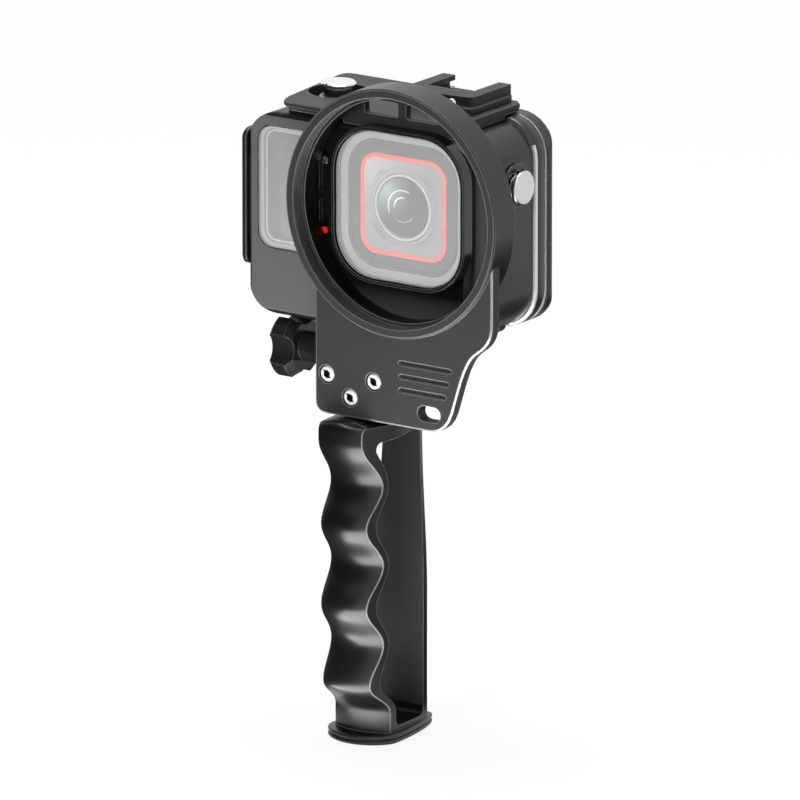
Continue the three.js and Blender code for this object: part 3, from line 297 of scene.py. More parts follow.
def finish(name, colour, roughness, grain=0.1, grain_mm=0.15, edge_highlight=None, metallic=0.0, edge_mm=0.25,
           shine=0.5):
    """A solid finish with uneven gloss, fine grain, rounded edges and an optional painted edge highlight."""
    material = new_material(name, {"Metallic": metallic, "Specular IOR Level": shine})
    tree = material.node_tree
    shader = tree.nodes["Principled BSDF"].inputs
    place = add_node(tree, "ShaderNodeTexCoord").outputs["Object"]
    smears = add_node(tree, "ShaderNodeTexNoise", {"Vector": place, "Scale": SMEARS_PER_METRE, "Detail": 4})
    uneven = fade(tree, smears.outputs["Fac"], 0, 1, roughness * 0.85, roughness * 1.2)
    tree.links.new(uneven, shader["Roughness"])

    rounded = add_node(tree, "ShaderNodeBevel", {"Radius": edge_mm * MM}, samples=6).outputs["Normal"]
    grains_per_metre = 1 / (grain_mm * MM)
    speckle = add_node(tree, "ShaderNodeTexNoise", {"Vector": place, "Scale": grains_per_metre, "Detail": 2})
    bump = add_node(tree, "ShaderNodeBump", {
        "Strength": grain, "Distance": GRAIN_DEPTH * MM, "Height": speckle.outputs["Fac"], "Normal": rounded})
    tree.links.new(bump.outputs["Normal"], shader["Normal"])

    # Painted highlight: a paler colour along every rounded edge, where light would catch it.
    if edge_highlight:
        flat = add_node(tree, "ShaderNodeNewGeometry").outputs["Normal"]
        facing = add_node(tree, "ShaderNodeVectorMath", {0: rounded, 1: flat}, operation="DOT_PRODUCT")
        edge_highlight_share = fade(tree, facing.outputs["Value"], EDGE_HIGHLIGHT_STARTS, EDGE_HIGHLIGHT_FULL)
        tree.links.new(blend(tree, edge_highlight_share, (*colour, 1), (*edge_highlight, 1)), shader["Base Color"])
    else:
        shader["Base Color"].default_value = (*colour, 1)
    return material


def gloss_and_painted_shade_inside_ring(material):
    """Makes the panel behind the filter ring glossy and paints shade on it, lighter towards its foot."""
    tree = material.node_tree
    shader = tree.nodes["Principled BSDF"].inputs
    satin_colour = shader["Base Color"].links[0].from_socket
    satin_roughness = shader["Roughness"].links[0].from_socket
    at = add_node(tree, "ShaderNodeSeparateXYZ", {0: here(tree)}).outputs
    within = fade(tree, from_axis(tree, RING_X, RING_Z), GLOSS_AND_SHADE_RADIUS * MM,
                  (GLOSS_AND_SHADE_RADIUS - GLOSS_AND_SHADE_RADIUS_BLEND) * MM)
    near = fade(tree, at["Y"], GLOSS_AND_SHADE_DEPTH * MM, (GLOSS_AND_SHADE_DEPTH - GLOSS_AND_SHADE_DEPTH_BLEND) * MM)
    panel = calculate(tree, "MULTIPLY", within, near)
    rising = fade(tree, at["Z"], SHADE_FADE_LOW * MM, SHADE_FADE_HIGH * MM, low=0.1)
    black = calculate(tree, "MULTIPLY", panel, rising)
    tree.links.new(blend(tree, black, satin_colour, (*grey(0.004), 1)), shader["Base Color"])
    roughness = add_node(tree, "ShaderNodeMix", {"Factor": panel, "A": satin_roughness, "B": 0.12})
    tree.links.new(roughness.outputs["Result"], shader["Roughness"])


def is_slanting(normal):
    return 0.15 < abs(normal.y) < 0.985


def is_rim_chamfer(at, normal):
    return (RIM_CHAMFER_FRONT < at.y < RIM_CHAMFER_BACK and at.z < RIM_CHAMFER_TOP
            and is_slanting(normal) and abs(normal.x) > 0.1)


moulded_black = finish("moulded_black", (0.012, 0.012, 0.0122), 0.32, edge_highlight=grey(0.2), edge_mm=0.35)
housing_black = finish("housing_black", (0.105, 0.105, 0.106), 0.36, grain=0.12, edge_highlight=grey(0.22), shine=0.4)
# Painted highlight: a pale half-metal finish on the rim chamfer's sides only, where light catches it.
rim_chamfer_highlight = finish("rim_chamfer_highlight", (0.7, 0.7, 0.69), 0.3, grain=0.05, metallic=0.5)
# Painted shade: inside the filter ring the housing front is painted black where the ring shades it, fading
# lower down, and made glossy there.
gloss_and_painted_shade_inside_ring(housing_black)
dress("housing_body", housing_black)
paint(cad["housing_body"], moulded_black, lambda at, normal: normal.y > -0.9)
paint(cad["housing_body"], rim_chamfer_highlight, is_rim_chamfer)


# Camera
# A small action camera in dark plastic, fixed in the housing. Its square lens block has a red
# line round a satin panel, and a dark lens in a bright ring. Screens face front and back.

LENS_X = 13.3
LENS_Z = 157.6
LENS_BLOCK_HALF = 17.7
LENS_BLOCK_CORNER = 9
LENS_BLOCK_FRONT = -7.6
LENS_BLOCK_BACK = -2.7
RED_LINE_OUTER = 14.65
RED_LINE_OUTER_CORNER = 5.6
RED_LINE_INNER = 13.6
RED_LINE_INNER_CORNER = 4.3
LENS_CIRCLE = 12.2
GLINT_FRONT = -8.0
GLINT_BACK = -7.7
HIGHLIGHT_CORE = 1
HIGHLIGHT_FALLOFF = 1.6
KNURL_RADIUS = 11.4
KNURL_RIBS = 150


def add_piece(name, shape):
    """Turns a shape that is being edited into a named piece."""
    mesh = bpy.data.meshes.new(name)
    shape.to_mesh(mesh)
    shape.free()
    piece = bpy.data.objects.new(name, mesh)
    scene.collection.objects.link(piece)
    return piece


def loft(name, rings, closed_loop=False, second_finish=()):
    """Joins rings of (x, y, z) points in millimetres into a skin. Its two ends are capped, or the
    last ring is joined to the first. Strips along it, given by number, take the second finish."""
    shape = bmesh.new()
    rows = [[shape.verts.new(Vector(point) * MM) for point in ring] for ring in rings]
    if closed_loop:
        rows.append(rows[0])
    count = len(rows[0])
    for near, far in zip(rows, rows[1:]):
        for i in range(count):
            after = (i + 1) % count
            face = shape.faces.new((near[i], near[after], far[after], far[i]))
            face.material_index = int(i in second_finish)
    if not closed_loop:
        shape.faces.new(reversed(rows[0]))
        shape.faces.new(rows[-1])
    bmesh.ops.recalc_face_normals(shape, faces=shape.faces)
    return add_piece(name, shape)


def smooth_faces(piece, sharpest):
    """Shades a mesh smooth, apart from edges that turn more than an angle in degrees."""
    shape = bmesh.new()
    shape.from_mesh(piece.data)
    for face in shape.faces:
        face.smooth = True
    for edge in shape.edges:
        edge.smooth = edge.calc_face_angle(0) < math.radians(sharpest)
    shape.to_mesh(piece.data)
    shape.free()


def settle(piece, material, body):
    """Finishes a made piece: its material, its shading, and the body that it belongs to."""
    piece.data.materials.clear()
    piece.data.materials.append(material)
    smooth_faces(piece, SHARP_EDGE)
    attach(piece, body)


def rounded_rectangle(left, bottom, right, top, corner, steps=8):
    """An outline with round corners."""
    middles = ((right - corner, top - corner), (left + corner, top - corner),
               (left + corner, bottom + corner), (right - corner, bottom + corner))
    points = []
    for quarter, (x, z) in enumerate(middles):
        for i in range(steps + 1):
            turn = math.radians(90 * quarter + 90 * i / steps)
            points.append((x + corner * math.cos(turn), z + corner * math.sin(turn)))
    return points


def rounded_square(half, corner, steps=10):
    return rounded_rectangle(-half, -half, half, half, corner, steps)


def circle(radius, steps=72):
    turns = [2 * math.pi * i / steps for i in range(steps)]
    return [(radius * math.cos(turn), radius * math.sin(turn)) for turn in turns]


def round_the_lens(name, outlines, closed_loop=True):
    """Joins outlines about the lens axis, each with its depth, from the front backwards."""
    rings = [[(LENS_X + x, depth, LENS_Z + z) for x, z in outline] for depth, outline in outlines]
    return loft(name, rings, closed_loop)


def turned(name, profile, closed_loop=True):
    """A turned piece about the lens axis, from pairs of depth and radius."""
    return round_the_lens(name, [(depth, circle(radius)) for depth, radius in profile], closed_loop)


# Painted light: makes a finish glow by itself, though the part is no lamp.
def paint_glow(material, colour, strength):
    shader = material.node_tree.nodes["Principled BSDF"].inputs
    shader["Emission Color"].default_value = (*colour, 1)
    shader["Emission Strength"].default_value = strength


def paint_highlight(material, bright, across, up, reach):
    """Paints a highlight into a finish round a place given from the lens axis, out to a reach."""
    tree = material.node_tree
    colour = tree.nodes["Principled BSDF"].inputs["Base Color"]
    distance = from_axis(tree, LENS_X + across, LENS_Z + up)
    light = fade(tree, distance, HIGHLIGHT_CORE * MM, reach * MM, 1, 0)
    soft_light = calculate(tree, "POWER", light, HIGHLIGHT_FALLOFF)
    tree.links.new(blend(tree, soft_light, tuple(colour.default_value), (*bright, 1)), colour)


camera_shell = finish("camera_shell", (0.05, 0.05, 0.052), 0.5, grain=0.2)
camera_face = finish("camera_face", grey(0.012), 0.5, edge_highlight=grey(0.1))
camera_red = finish("camera_red", (0.95, 0.07, 0.05), 0.4)
# Painted light: the red paint glows a little, so that it reads as brightly lit behind the pane.
paint_glow(camera_red, (1, 0.06, 0.04), 0.6)
satin_panel = finish("satin_panel", (0.55, 0.56, 0.58), 0.35, grain=0.3, metallic=0.2)
# Painted highlight: the satin panel is lighter towards its upper left.
paint_highlight(satin_panel, grey(1), across=-12, up=12, reach=24)
ring_bright = finish("ring_bright", grey(0.95), 0.3)
# Painted reflections: glowing crescents laid on the lens where it would mirror light.
painted_glint = finish("painted_glint", grey(0.95), 0.3, grain=0.0)
paint_glow(painted_glint, grey(1), 0.45)
coated_glass = finish("coated_glass", grey(0.004), 0.06, grain=0.0, shine=0.6)
# Painted reflection: the lens coating's greenish sheen at its upper left.
paint_highlight(coated_glass, (0.6, 0.8, 0.68), across=-6, up=4.5, reach=10)
screen_glass = finish("screen_glass", (0.02, 0.02, 0.022), 0.12, grain=0.02)
screen_grey = finish("screen_grey", grey(0.12), 0.3, grain=0.02)
dress("camera_body", camera_shell)
dress("camera_front_screen", screen_grey)
dress("camera_rear_screen", screen_glass)


def block_outline(inset):
    return rounded_square(LENS_BLOCK_HALF - inset, LENS_BLOCK_CORNER - inset)


block_opening = rounded_square(RED_LINE_OUTER + 0.1, RED_LINE_OUTER_CORNER)
lens_block = round_the_lens("lens_block", [
    (LENS_BLOCK_FRONT, block_opening),
    (LENS_BLOCK_FRONT, block_outline(0.9)),
    (LENS_BLOCK_FRONT + 0.25, block_outline(0.3)),
    (LENS_BLOCK_FRONT + 0.9, block_outline(0)),
    (LENS_BLOCK_BACK, block_outline(0)),
    (LENS_BLOCK_BACK, block_opening),
])
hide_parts("camera_lens_block")
settle(lens_block, camera_face, "housing")

red_outer = rounded_square(RED_LINE_OUTER, RED_LINE_OUTER_CORNER)
red_inner = rounded_square(RED_LINE_INNER, RED_LINE_INNER_CORNER)
red_line = round_the_lens("red_line", [
    (LENS_BLOCK_FRONT - 0.1, red_inner),
    (LENS_BLOCK_FRONT - 0.1, red_outer),
    (LENS_BLOCK_FRONT + 0.6, red_outer),
    (LENS_BLOCK_FRONT + 0.6, red_inner),
])
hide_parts("camera_red_frame")
settle(red_line, camera_red, "housing")


def panel_outline(share):
    """Between the lens circle, at share 0, and the inner side of the red line, at share 1."""
    points = []
    for x, z in rounded_square(RED_LINE_INNER - 0.05, RED_LINE_INNER_CORNER, 17):
        reach = math.hypot(x, z)
        scale = (LENS_CIRCLE + (reach - LENS_CIRCLE) * share) / reach
        points.append((x * scale, z * scale))
    return points


satin = round_the_lens("satin_panel", [
    (LENS_BLOCK_BACK, panel_outline(1)),
    (LENS_BLOCK_FRONT + 0.1, panel_outline(1)),
    (LENS_BLOCK_FRONT - 0.15, panel_outline(0.92)),
    (LENS_BLOCK_FRONT - 0.15, panel_outline(0.03)),
    (LENS_BLOCK_FRONT + 0.15, panel_outline(0)),
    (LENS_BLOCK_BACK, panel_outline(0)),
])
settle(satin, satin_panel, "housing")

lens_surround = turned("lens_surround", [
    (LENS_BLOCK_BACK, 12.1), (-7.5, 12.1), (-7.75, 11.8), (-7.45, 11.5), (-7.55, 11.1), (-7.95, 10.3),
    (-7.9, 10.1), (-7.5, 9.95), (LENS_BLOCK_BACK, 9.95),
])
settle(lens_surround, satin_panel, "housing")

lens_ring = turned("lens_ring", [
    (-3.0, 9.8), (-7.7, 9.75), (-7.95, 9.6), (-8.0, 9.3), (-7.95, 9.0), (-7.7, 8.9), (-3.0, 8.85),
])
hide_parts("camera_lens_ring")
settle(lens_ring, ring_bright, "housing")

lens_glass = turned("lens_glass", [
    (-3.2, 8.6), (-7.55, 8.6), (-7.7, 7.4), (-7.8, 6.2), (-7.85, 5.2), (-7.7, 5.05), (-7.7, 4.85),
    (-7.86, 4.7), (-7.92, 3.6), (-7.95, 2.8), (-7.85, 2.7), (-7.85, 2.5), (-7.96, 2.4), (-7.98, 1.2),
    (-8.0, 0.2),
], closed_loop=False)
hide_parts("camera_lens")
settle(lens_glass, coated_glass, "housing")


def paint_glint(name, radius, width, start, stop):
    """A painted reflection: a glowing crescent lying on the lens between two angles in degrees."""
    steps = 28
    rings = []
    for i in range(steps + 1):
        turn = math.radians(start + (stop - start) * i / steps)
        half = width / 2 * math.sin(math.pi * i / steps) ** 0.5 + 0.01
        corners = ((radius - half, GLINT_FRONT), (radius + half, GLINT_FRONT),
                   (radius + half, GLINT_BACK), (radius - half, GLINT_BACK))
        rings.append([(LENS_X + reach * math.cos(turn), depth, LENS_Z + reach * math.sin(turn))
                      for reach, depth in corners])
    settle(loft(name, rings), painted_glint, "housing")


def bake(name, tree, sizes):
    """Runs a node tree once with its named inputs set, and keeps the mesh that it makes."""
    holder = bpy.data.objects.new(name, bpy.data.meshes.new(name))
    scene.collection.objects.link(holder)
    maker = holder.modifiers.new("maker", "NODES")
    maker.node_group = tree
    for socket in tree.interface.items_tree:
        if socket.name in sizes:
            maker[socket.identifier] = sizes[socket.name]
    holder.data.materials.append(sizes["Finish"])
    graph = bpy.context.evaluated_depsgraph_get()
    baked = bpy.data.meshes.new_from_object(holder.evaluated_get(graph))
    holder.modifiers.clear()
    holder.data = baked
    return holder


def new_tree(name, lengths, count):
    """A node tree with its inputs named: lengths in metres, one whole number and a finish."""
    tree = bpy.data.node_groups.new(name, "GeometryNodeTree")
    for label in lengths:
        tree.interface.new_socket(label, in_out="INPUT", socket_type="NodeSocketFloat")
    tree.interface.new_socket(count, in_out="INPUT", socket_type="NodeSocketInt")
    tree.interface.new_socket("Finish", in_out="INPUT", socket_type="NodeSocketMaterial")
    tree.interface.new_socket("Geometry", in_out="OUTPUT", socket_type="NodeSocketGeometry")
    return tree


def stand_up(tree, geometry, finish_input, middle):
    """Turns flat geometry to face the front at a middle in millimetres, and ends the tree."""
    turned_up = add_node(tree, "GeometryNodeTransform", {
        "Geometry": geometry, "Rotation": (math.radians(90), 0, 0), "Translation": Vector(middle) * MM})
    real = add_node(tree, "GeometryNodeRealizeInstances", {0: turned_up.outputs[0]})
    finished = add_node(tree, "GeometryNodeSetMaterial", {
        "Geometry": real.outputs[0], "Material": finish_input})
    add_node(tree, "NodeGroupOutput", {0: finished.outputs[0]})


def knurl_tree():
    """Short ribs set radially round a circle."""
    tree = new_tree("knurl", ("Radius", "Rib Length", "Rib Width", "Rib Height"), "Ribs")
    start = add_node(tree, "NodeGroupInput").outputs
    places = add_node(tree, "GeometryNodeMeshCircle", {"Vertices": start["Ribs"], "Radius": start["Radius"]})
    size = add_node(tree, "ShaderNodeCombineXYZ", {
        "X": start["Rib Length"], "Y": start["Rib Width"], "Z": start["Rib Height"]})
    rib = add_node(tree, "GeometryNodeMeshCube", {"Size": size.outputs[0]})
    place = add_node(tree, "GeometryNodeInputPosition").outputs[0]
    outward = add_node(tree, "FunctionNodeAlignRotationToVector", {"Vector": place}, axis="X")
    ribs = add_node(tree, "GeometryNodeInstanceOnPoints", {
        "Points": places.outputs[0], "Instance": rib.outputs["Mesh"], "Rotation": outward.outputs[0]})
    stand_up(tree, ribs.outputs[0], start["Finish"], (LENS_X, LENS_BLOCK_FRONT, LENS_Z))
    return tree


lens_knurl = bake("lens_knurl", knurl_tree(), {
    "Radius": KNURL_RADIUS * MM, "Rib Length": 0.8 * MM, "Rib Width": 0.22 * MM, "Rib Height": 0.4 * MM,
    "Ribs": KNURL_RIBS, "Finish": satin_panel})
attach(lens_knurl, "housing")
# Painted reflections: three crescents on the lens.
paint_glint("lens_painted_glint_outer", radius=5.0, width=0.35, start=62, stop=205)
paint_glint("lens_painted_glint_inner", radius=2.9, width=0.45, start=75, stop=190)
paint_glint("lens_painted_glint_low", radius=4.2, width=0.12, start=240, stop=330)


# Port
# A flat square pane in a glossy moulded frame in front of the lens, pressed on a pale rubber
# seal. The pane has a faint milky film, and painted highlights and shade on its side walls
# show through its front.

# Painted highlights and shade on the panes' side walls: dark stripes at these shares of the depth, and paler
# edges.
WALL_STRIPES = (0.2, 0.66)
WALL_FRONT_EDGE = 0.14
WALL_BACK_EDGE = 0.74


def clear_pane(name, veil):
    """Clear sheet with a milky film on each face, and with its side walls ground paler."""
    material = new_material(name, {})
    tree = material.node_tree
    tree.nodes.remove(tree.nodes["Principled BSDF"])
    coordinates = add_node(tree, "ShaderNodeTexCoord").outputs
    clouds = add_node(tree, "ShaderNodeTexNoise", {"Vector": coordinates["Object"], "Scale": 60})
    uneven = fade(tree, clouds.outputs["Fac"], 0, 1, veil * 0.92, veil * 1.08)
    facing = add_node(tree, "ShaderNodeSeparateXYZ", {0: coordinates["Normal"]}).outputs["Y"]
    ground = fade(tree, calculate(tree, "ABSOLUTE", facing), 0.8, 0.5, 0, 0.45)
    film_share = calculate(tree, "MAXIMUM", uneven, ground)
    through = add_node(tree, "ShaderNodeBsdfTransparent", {"Color": WHITE}).outputs[0]
    film = add_node(tree, "ShaderNodeBsdfDiffuse", {"Color": (*grey(0.9), 1)}).outputs[0]
    milky = add_node(tree, "ShaderNodeMixShader", {0: film_share, 1: through, 2: film}).outputs[0]
    shine = add_node(tree, "ShaderNodeBsdfGlossy", {"Roughness": 0.02}).outputs[0]
    skin = add_node(tree, "ShaderNodeFresnel", {"IOR": 1.3}).outputs[0]
    pane = add_node(tree, "ShaderNodeMixShader", {0: skin, 1: milky, 2: shine}).outputs[0]
    tree.links.new(pane, tree.nodes["Material Output"].inputs["Surface"])
    return material


def paint_wall_light_and_shade(node):
    """Paints light and dark stripes on a pane's side walls: the highlights and shade seen through its front.
    """
    depths = [corner.co.y for corner in cad[node].data.vertices]
    walls = finish(f"{node}_walls", grey(0.5), 0.3, grain=0.02)
    tree = walls.node_tree
    at = add_node(tree, "ShaderNodeSeparateXYZ", {0: here(tree)}).outputs
    stripes = add_node(tree, "ShaderNodeValToRGB", {"Fac": fade(tree, at["Y"], min(depths), max(depths))})
    front, back = stripes.color_ramp.elements
    front.color = (*grey(0.8), 1)
    front.position = WALL_FRONT_EDGE
    back.color = WHITE
    back.position = WALL_BACK_EDGE
    for position in WALL_STRIPES:
        stripes.color_ramp.elements.new(position).color = (*grey(0.01), 1)
    tree.links.new(stripes.outputs["Color"], tree.nodes["Principled BSDF"].inputs["Base Color"])
    paint(cad[node], walls, lambda at, normal: abs(normal.y) < 0.5)


port_pane = clear_pane("port_pane", 0.21)
gloss_black = finish("gloss_black", grey(0.008), 0.14, grain=0.02, edge_highlight=grey(0.2))
pale_rubber = finish("pale_rubber", (0.5, 0.5, 0.49), 0.6)
dress("port_frame", gloss_black)
dress("port_glass", port_pane)
paint_wall_light_and_shade("port_glass")
dress("port_seal", pale_rubber)


# Front window and the two pockets beside the port
# A second pane, bonded in on a rubber seal, shows the camera's small screen with the thin
# frames round it. The upper pocket holds a steel screw, and the lower one holds a red lamp.

window_pane = clear_pane("window_pane", 0.22)
turned_steel = finish("turned_steel", (0.72, 0.72, 0.71), 0.2, metallic=1.0)
lamp_red = finish("lamp_red", (0.8, 0.02, 0.015), 0.3)
screen_line = finish("screen_line", grey(0.75), 0.3, grain=0.02)
dress("front_window", window_pane)
paint_wall_light_and_shade("front_window")
dress("front_window_seal", pale_rubber)
dress("status_lamp", lamp_red)
dress("pocket_screw", turned_steel)


def thin_frame(name, outline, width, front, back):
    """A narrow frame along a rounded rectangle, which is given as left, bottom, right, top and corner."""
    left, bottom, right, top, corner = outline
    outer = rounded_rectangle(left, bottom, right, top, corner)
    inner = rounded_rectangle(left + width, bottom + width, right - width, top - width, corner - width)
    sections = ((front, inner), (front, outer), (back, outer), (back, inner))
    return loft(name, [[(x, depth, z) for x, z in section] for depth, section in sections], closed_loop=True)


window_step = thin_frame("window_step", (-36.7, 140.2, -19.6, 173.0, 3.6), width=0.55, front=-4.2, back=-3.7)
settle(window_step, screen_line, "housing")
screen_bezel = thin_frame("screen_bezel", (-32.9, 144.4, -18.6, 170.2, 2.2), width=0.5, front=-3, back=-2.41)
settle(screen_bezel, camera_face, "housing")
screen_edge = thin_frame("screen_edge", (-32.3, 145.0, -19.2, 169.6, 1.7), width=0.3, front=-3, back=-2.41)
settle(screen_edge, screen_line, "housing")


# Rear door
# A moulded frame with a large clear window, hinged on the right and pressed on a silicone seal.
# A thin pale bead lies in the joint between the door and the housing's rim.

grey_rubber = finish("grey_rubber", grey(0.35), 0.6)
door_pane = clear_pane("door_pane", 0.1)
dress("rear_door", moulded_black)
dress("door_window", door_pane)
dress("door_seal", grey_rubber)
dress("hinge_pin", turned_steel)
door_bead = thin_frame("door_bead", (-42.9, 118.2, 36.9, 179.5, 11.4), width=0.6, front=28.95, back=29.45)
settle(door_bead, pale_rubber, "door")


# Latch
# A tall moulded lever on the left side, on a steel pin in the door. Its nose snaps into a
# pocket of the housing.

dress("latch_lever", moulded_black)
dress("latch_pin", turned_steel)


# Push buttons
# Turned metal caps on sprung stems, each in a gloss black collar with an O-ring below it and a
# clip inside. The shutter cap is polished and goes down. The power cap is brushed and goes left.

X_AXIS = 0
Z_AXIS = 2


def cad_copy(node, name):
    """A welded copy of a CAD node's own shape."""
    shape = bmesh.new()
    shape.from_mesh(cad[node].data)
    bmesh.ops.remove_doubles(shape, verts=shape.verts, dist=WELD_DISTANCE)
    return add_piece(name, shape)


bright_metal = finish("bright_metal", (0.86, 0.86, 0.85), 0.1, metallic=1.0, edge_mm=0.4)
brushed_metal = finish("brushed_metal", grey(0.62), 0.22, metallic=1.0, edge_mm=0.4)
for label, cap_metal, along in (("shutter", bright_metal, Z_AXIS), ("power", brushed_metal, X_AXIS)):
    dress(f"{label}_button", cap_metal)
    dress(f"{label}_collar", gloss_black)
    dress(f"{label}_o_ring", grey_rubber)
    dress(f"{label}_clip", turned_steel)

    coil = cad_copy(f"{label}_spring", f"{label}_coil")
    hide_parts(f"{label}_spring")
    settle(coil, turned_steel, "housing")
    ends = [point.co[along] for point in coil.data.vertices]
    foot = sum((point.co for point in coil.data.vertices), Vector()) / len(ends)
    foot[along] = min(ends)
    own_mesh(coil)


# Ring plate
# One machined piece of black anodised aluminium: the filter ring, the flat plate and its slot.
# Three steel socket screws hold it to the head of the grip.

RING_RADIUS = 36.1
PLATE_TOP = 121
PLATE_EDGE_BACK = -14.2
SCREWS = {"a": (-8, 107.4), "b": (0, 101.6), "c": (8.1, 107.5)}
SOCKET_RADIUS = 1.3
SOCKET_MOUTH = -15.3
THREAD_RADIUS = 33.5
THREAD_CREST = 0.26
THREAD_PITCH = 0.75
THREAD_TURNS = 5
THREAD_BACK = -12.7

anodised = finish("anodised", (0.035, 0.035, 0.036), 0.5, grain=0.25, edge_highlight=grey(0.3), edge_mm=0.4, shine=0.2)
turned_black = finish("turned_black", grey(0.006), 0.34, grain=0.2, grain_mm=0.3, edge_highlight=grey(0.1))
plate_edge = finish("plate_edge", grey(0.3), 0.35, metallic=0.5)
blasted_steel = finish("blasted_steel", grey(0.9), 0.35, grain=0.05, metallic=0.25, edge_mm=0.3)
# Painted shade: the screws' hex sockets are dark where shade falls in them.
socket_painted_shade = finish("socket_painted_shade", grey(0.01), 0.4)


def off_ring_axis(at):
    return math.hypot(at.x - RING_X, at.z - RING_Z)


def is_ring_side(at, normal):
    return off_ring_axis(at) < RING_RADIUS + 0.3 and at.z > PLATE_TOP and abs(normal.y) < 0.2


def is_plate_edge(at, normal):
    return (at.y < PLATE_EDGE_BACK and is_slanting(normal)
            and (off_ring_axis(at) > RING_RADIUS + 0.5 or at.z < PLATE_TOP))


def thread_tree():
    """A row of round crests one pitch apart, as a filter thread shows."""
    tree = new_tree("filter_thread", ("Radius", "Crest", "Pitch"), "Turns")
    start = add_node(tree, "NodeGroupInput").outputs
    path = add_node(tree, "GeometryNodeCurvePrimitiveCircle", {"Resolution": 160, "Radius": start["Radius"]})
    crest = add_node(tree, "GeometryNodeCurvePrimitiveCircle", {"Resolution": 6, "Radius": start["Crest"]})
    swept = add_node(tree, "GeometryNodeCurveToMesh", {
        "Curve": path.outputs[0], "Profile Curve": crest.outputs[0]})
    step = add_node(tree, "ShaderNodeCombineXYZ", {"Z": start["Pitch"]})
    row = add_node(tree, "GeometryNodeMeshLine", {"Count": start["Turns"], "Offset": step.outputs[0]})
    turns = add_node(tree, "GeometryNodeInstanceOnPoints", {
        "Points": row.outputs[0], "Instance": swept.outputs[0]})
    stand_up(tree, turns.outputs[0], start["Finish"], (RING_X, THREAD_BACK, RING_Z))
    return tree


dress("ring_plate", anodised)
paint(cad["ring_plate"], turned_black, is_ring_side)
paint(cad["ring_plate"], plate_edge, is_plate_edge)
for letter, (across, up) in SCREWS.items():
    dress(f"plate_screw_{letter}", blasted_steel)
    paint(cad[f"plate_screw_{letter}"], socket_painted_shade, lambda at, normal: at.y > SOCKET_MOUTH
          and math.hypot(at.x - across, at.z - up) < SOCKET_RADIUS)

thread = bake("filter_thread", thread_tree(), {
    "Radius": THREAD_RADIUS * MM, "Crest": THREAD_CREST * MM, "Pitch": THREAD_PITCH * MM,
    "Turns": THREAD_TURNS, "Finish": anodised})
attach(thread, "housing")


# Top bracket and cold shoe
# Bent and milled aluminium, anodised black. The bracket lies over the housing, and two steel
# screws hold it to the back of the ring. The shoe on it has a steel stop pin.

dress("top_bracket", anodised)
dress("bracket_screw_left", turned_steel)
dress("bracket_screw_right", turned_steel)
dress("cold_shoe", anodised)
dress("shoe_stop_pin", turned_steel)


# Grip
# A cast aluminium loop with finger grooves in its front wall, a crowned top, a beaded foot and
# a head that carries the plate and the finger mount. Smoothed and anodised glossy black.

SIDE_EDGE = ((9, -8.7), (17.9, -16.8), (29.4, -11.5), (40.8, -18.1), (52.8, -11.5), (64.5, -18.1),
             (75.9, -11.7), (89.9, -19.9))
FRONT_WALL = ((9, 2.6), (17.9, 3.9), (29.4, 2.2), (40.8, 3.8), (52.8, 2.2), (64.5, 3.8), (75.9, 2.2),
              (86.8, 4.7))
NOSE = ((76, 3), (91, 1.8))
BACK_HALF = ((40, 8.4), (90, 5.5))
LOOP_BACK = ((40, 9), (90, 10.4))
LOOP_BOTTOM = 4.3
LOOP_TOP = 89.3
LOOP_CORNER = 2.5
LOOP_REACH = 14
GRIP_FOOT = 1.2
GRIP_WIDEST = -8
GRIP_HALF = 9.75
GRIP_BACK_WALL = 3
NOSE_TAPER = 0.18
BACK_TAPER = 1.6
CREASE_WIDTH = 0.2
CREASE_DEPTH = 0.25
FRONT_STEPS = 16
FLANK_STEPS = 9
WALL_STEPS = 150
CROWN_STEPS = 14
LOOP_FRONT_STEPS = 104
LOOP_BACK_STEPS = 20
GRIP_SHARP_EDGE = 18
CROWN_START = 91
CROWN_END = 95.4
CROWN_TOP = 95.5
CROWN_DROP = 1.6
CROWN_HALF = 9.3
CROWN_ROLL = 2.5
FLANGE_FRONT = -16.5
FLANGE_BACK = 16.9
FLANGE_HALF = 11.5
FLANGE_BACK_HALF = 5.5
BEADS = ((0, 1.35), (1.45, 2.8))
BEAD_DEPTH = 0.65


def wave(pairs, at):
    """A smooth curve through pairs of height and value, level at each pair."""
    if at <= pairs[0][0]:
        return pairs[0][1]
    for (low, first), (high, second) in zip(pairs, pairs[1:]):
        if at <= high:
            ease = (1 - math.cos(math.pi * (at - low) / (high - low))) / 2
            return first + (second - first) * ease
    return pairs[-1][1]


def flank(y, back, z):
    """Half the grip's width at a depth and a height."""
    if y < GRIP_WIDEST:
        return GRIP_HALF - NOSE_TAPER * (GRIP_WIDEST - y)
    share = (y - GRIP_WIDEST) / (back - GRIP_WIDEST)
    return GRIP_HALF + (wave(BACK_HALF, z) - GRIP_HALF) * share ** BACK_TAPER


def roll_back(x, z):
    """How far the front leans back where it rolls over into the crowned top."""
    start = CROWN_TOP - CROWN_DROP * (x / CROWN_HALF) ** 2 - CROWN_ROLL
    rise = min(max(0, z - start), CROWN_ROLL)
    return CROWN_ROLL - math.sqrt(CROWN_ROLL ** 2 - rise ** 2)


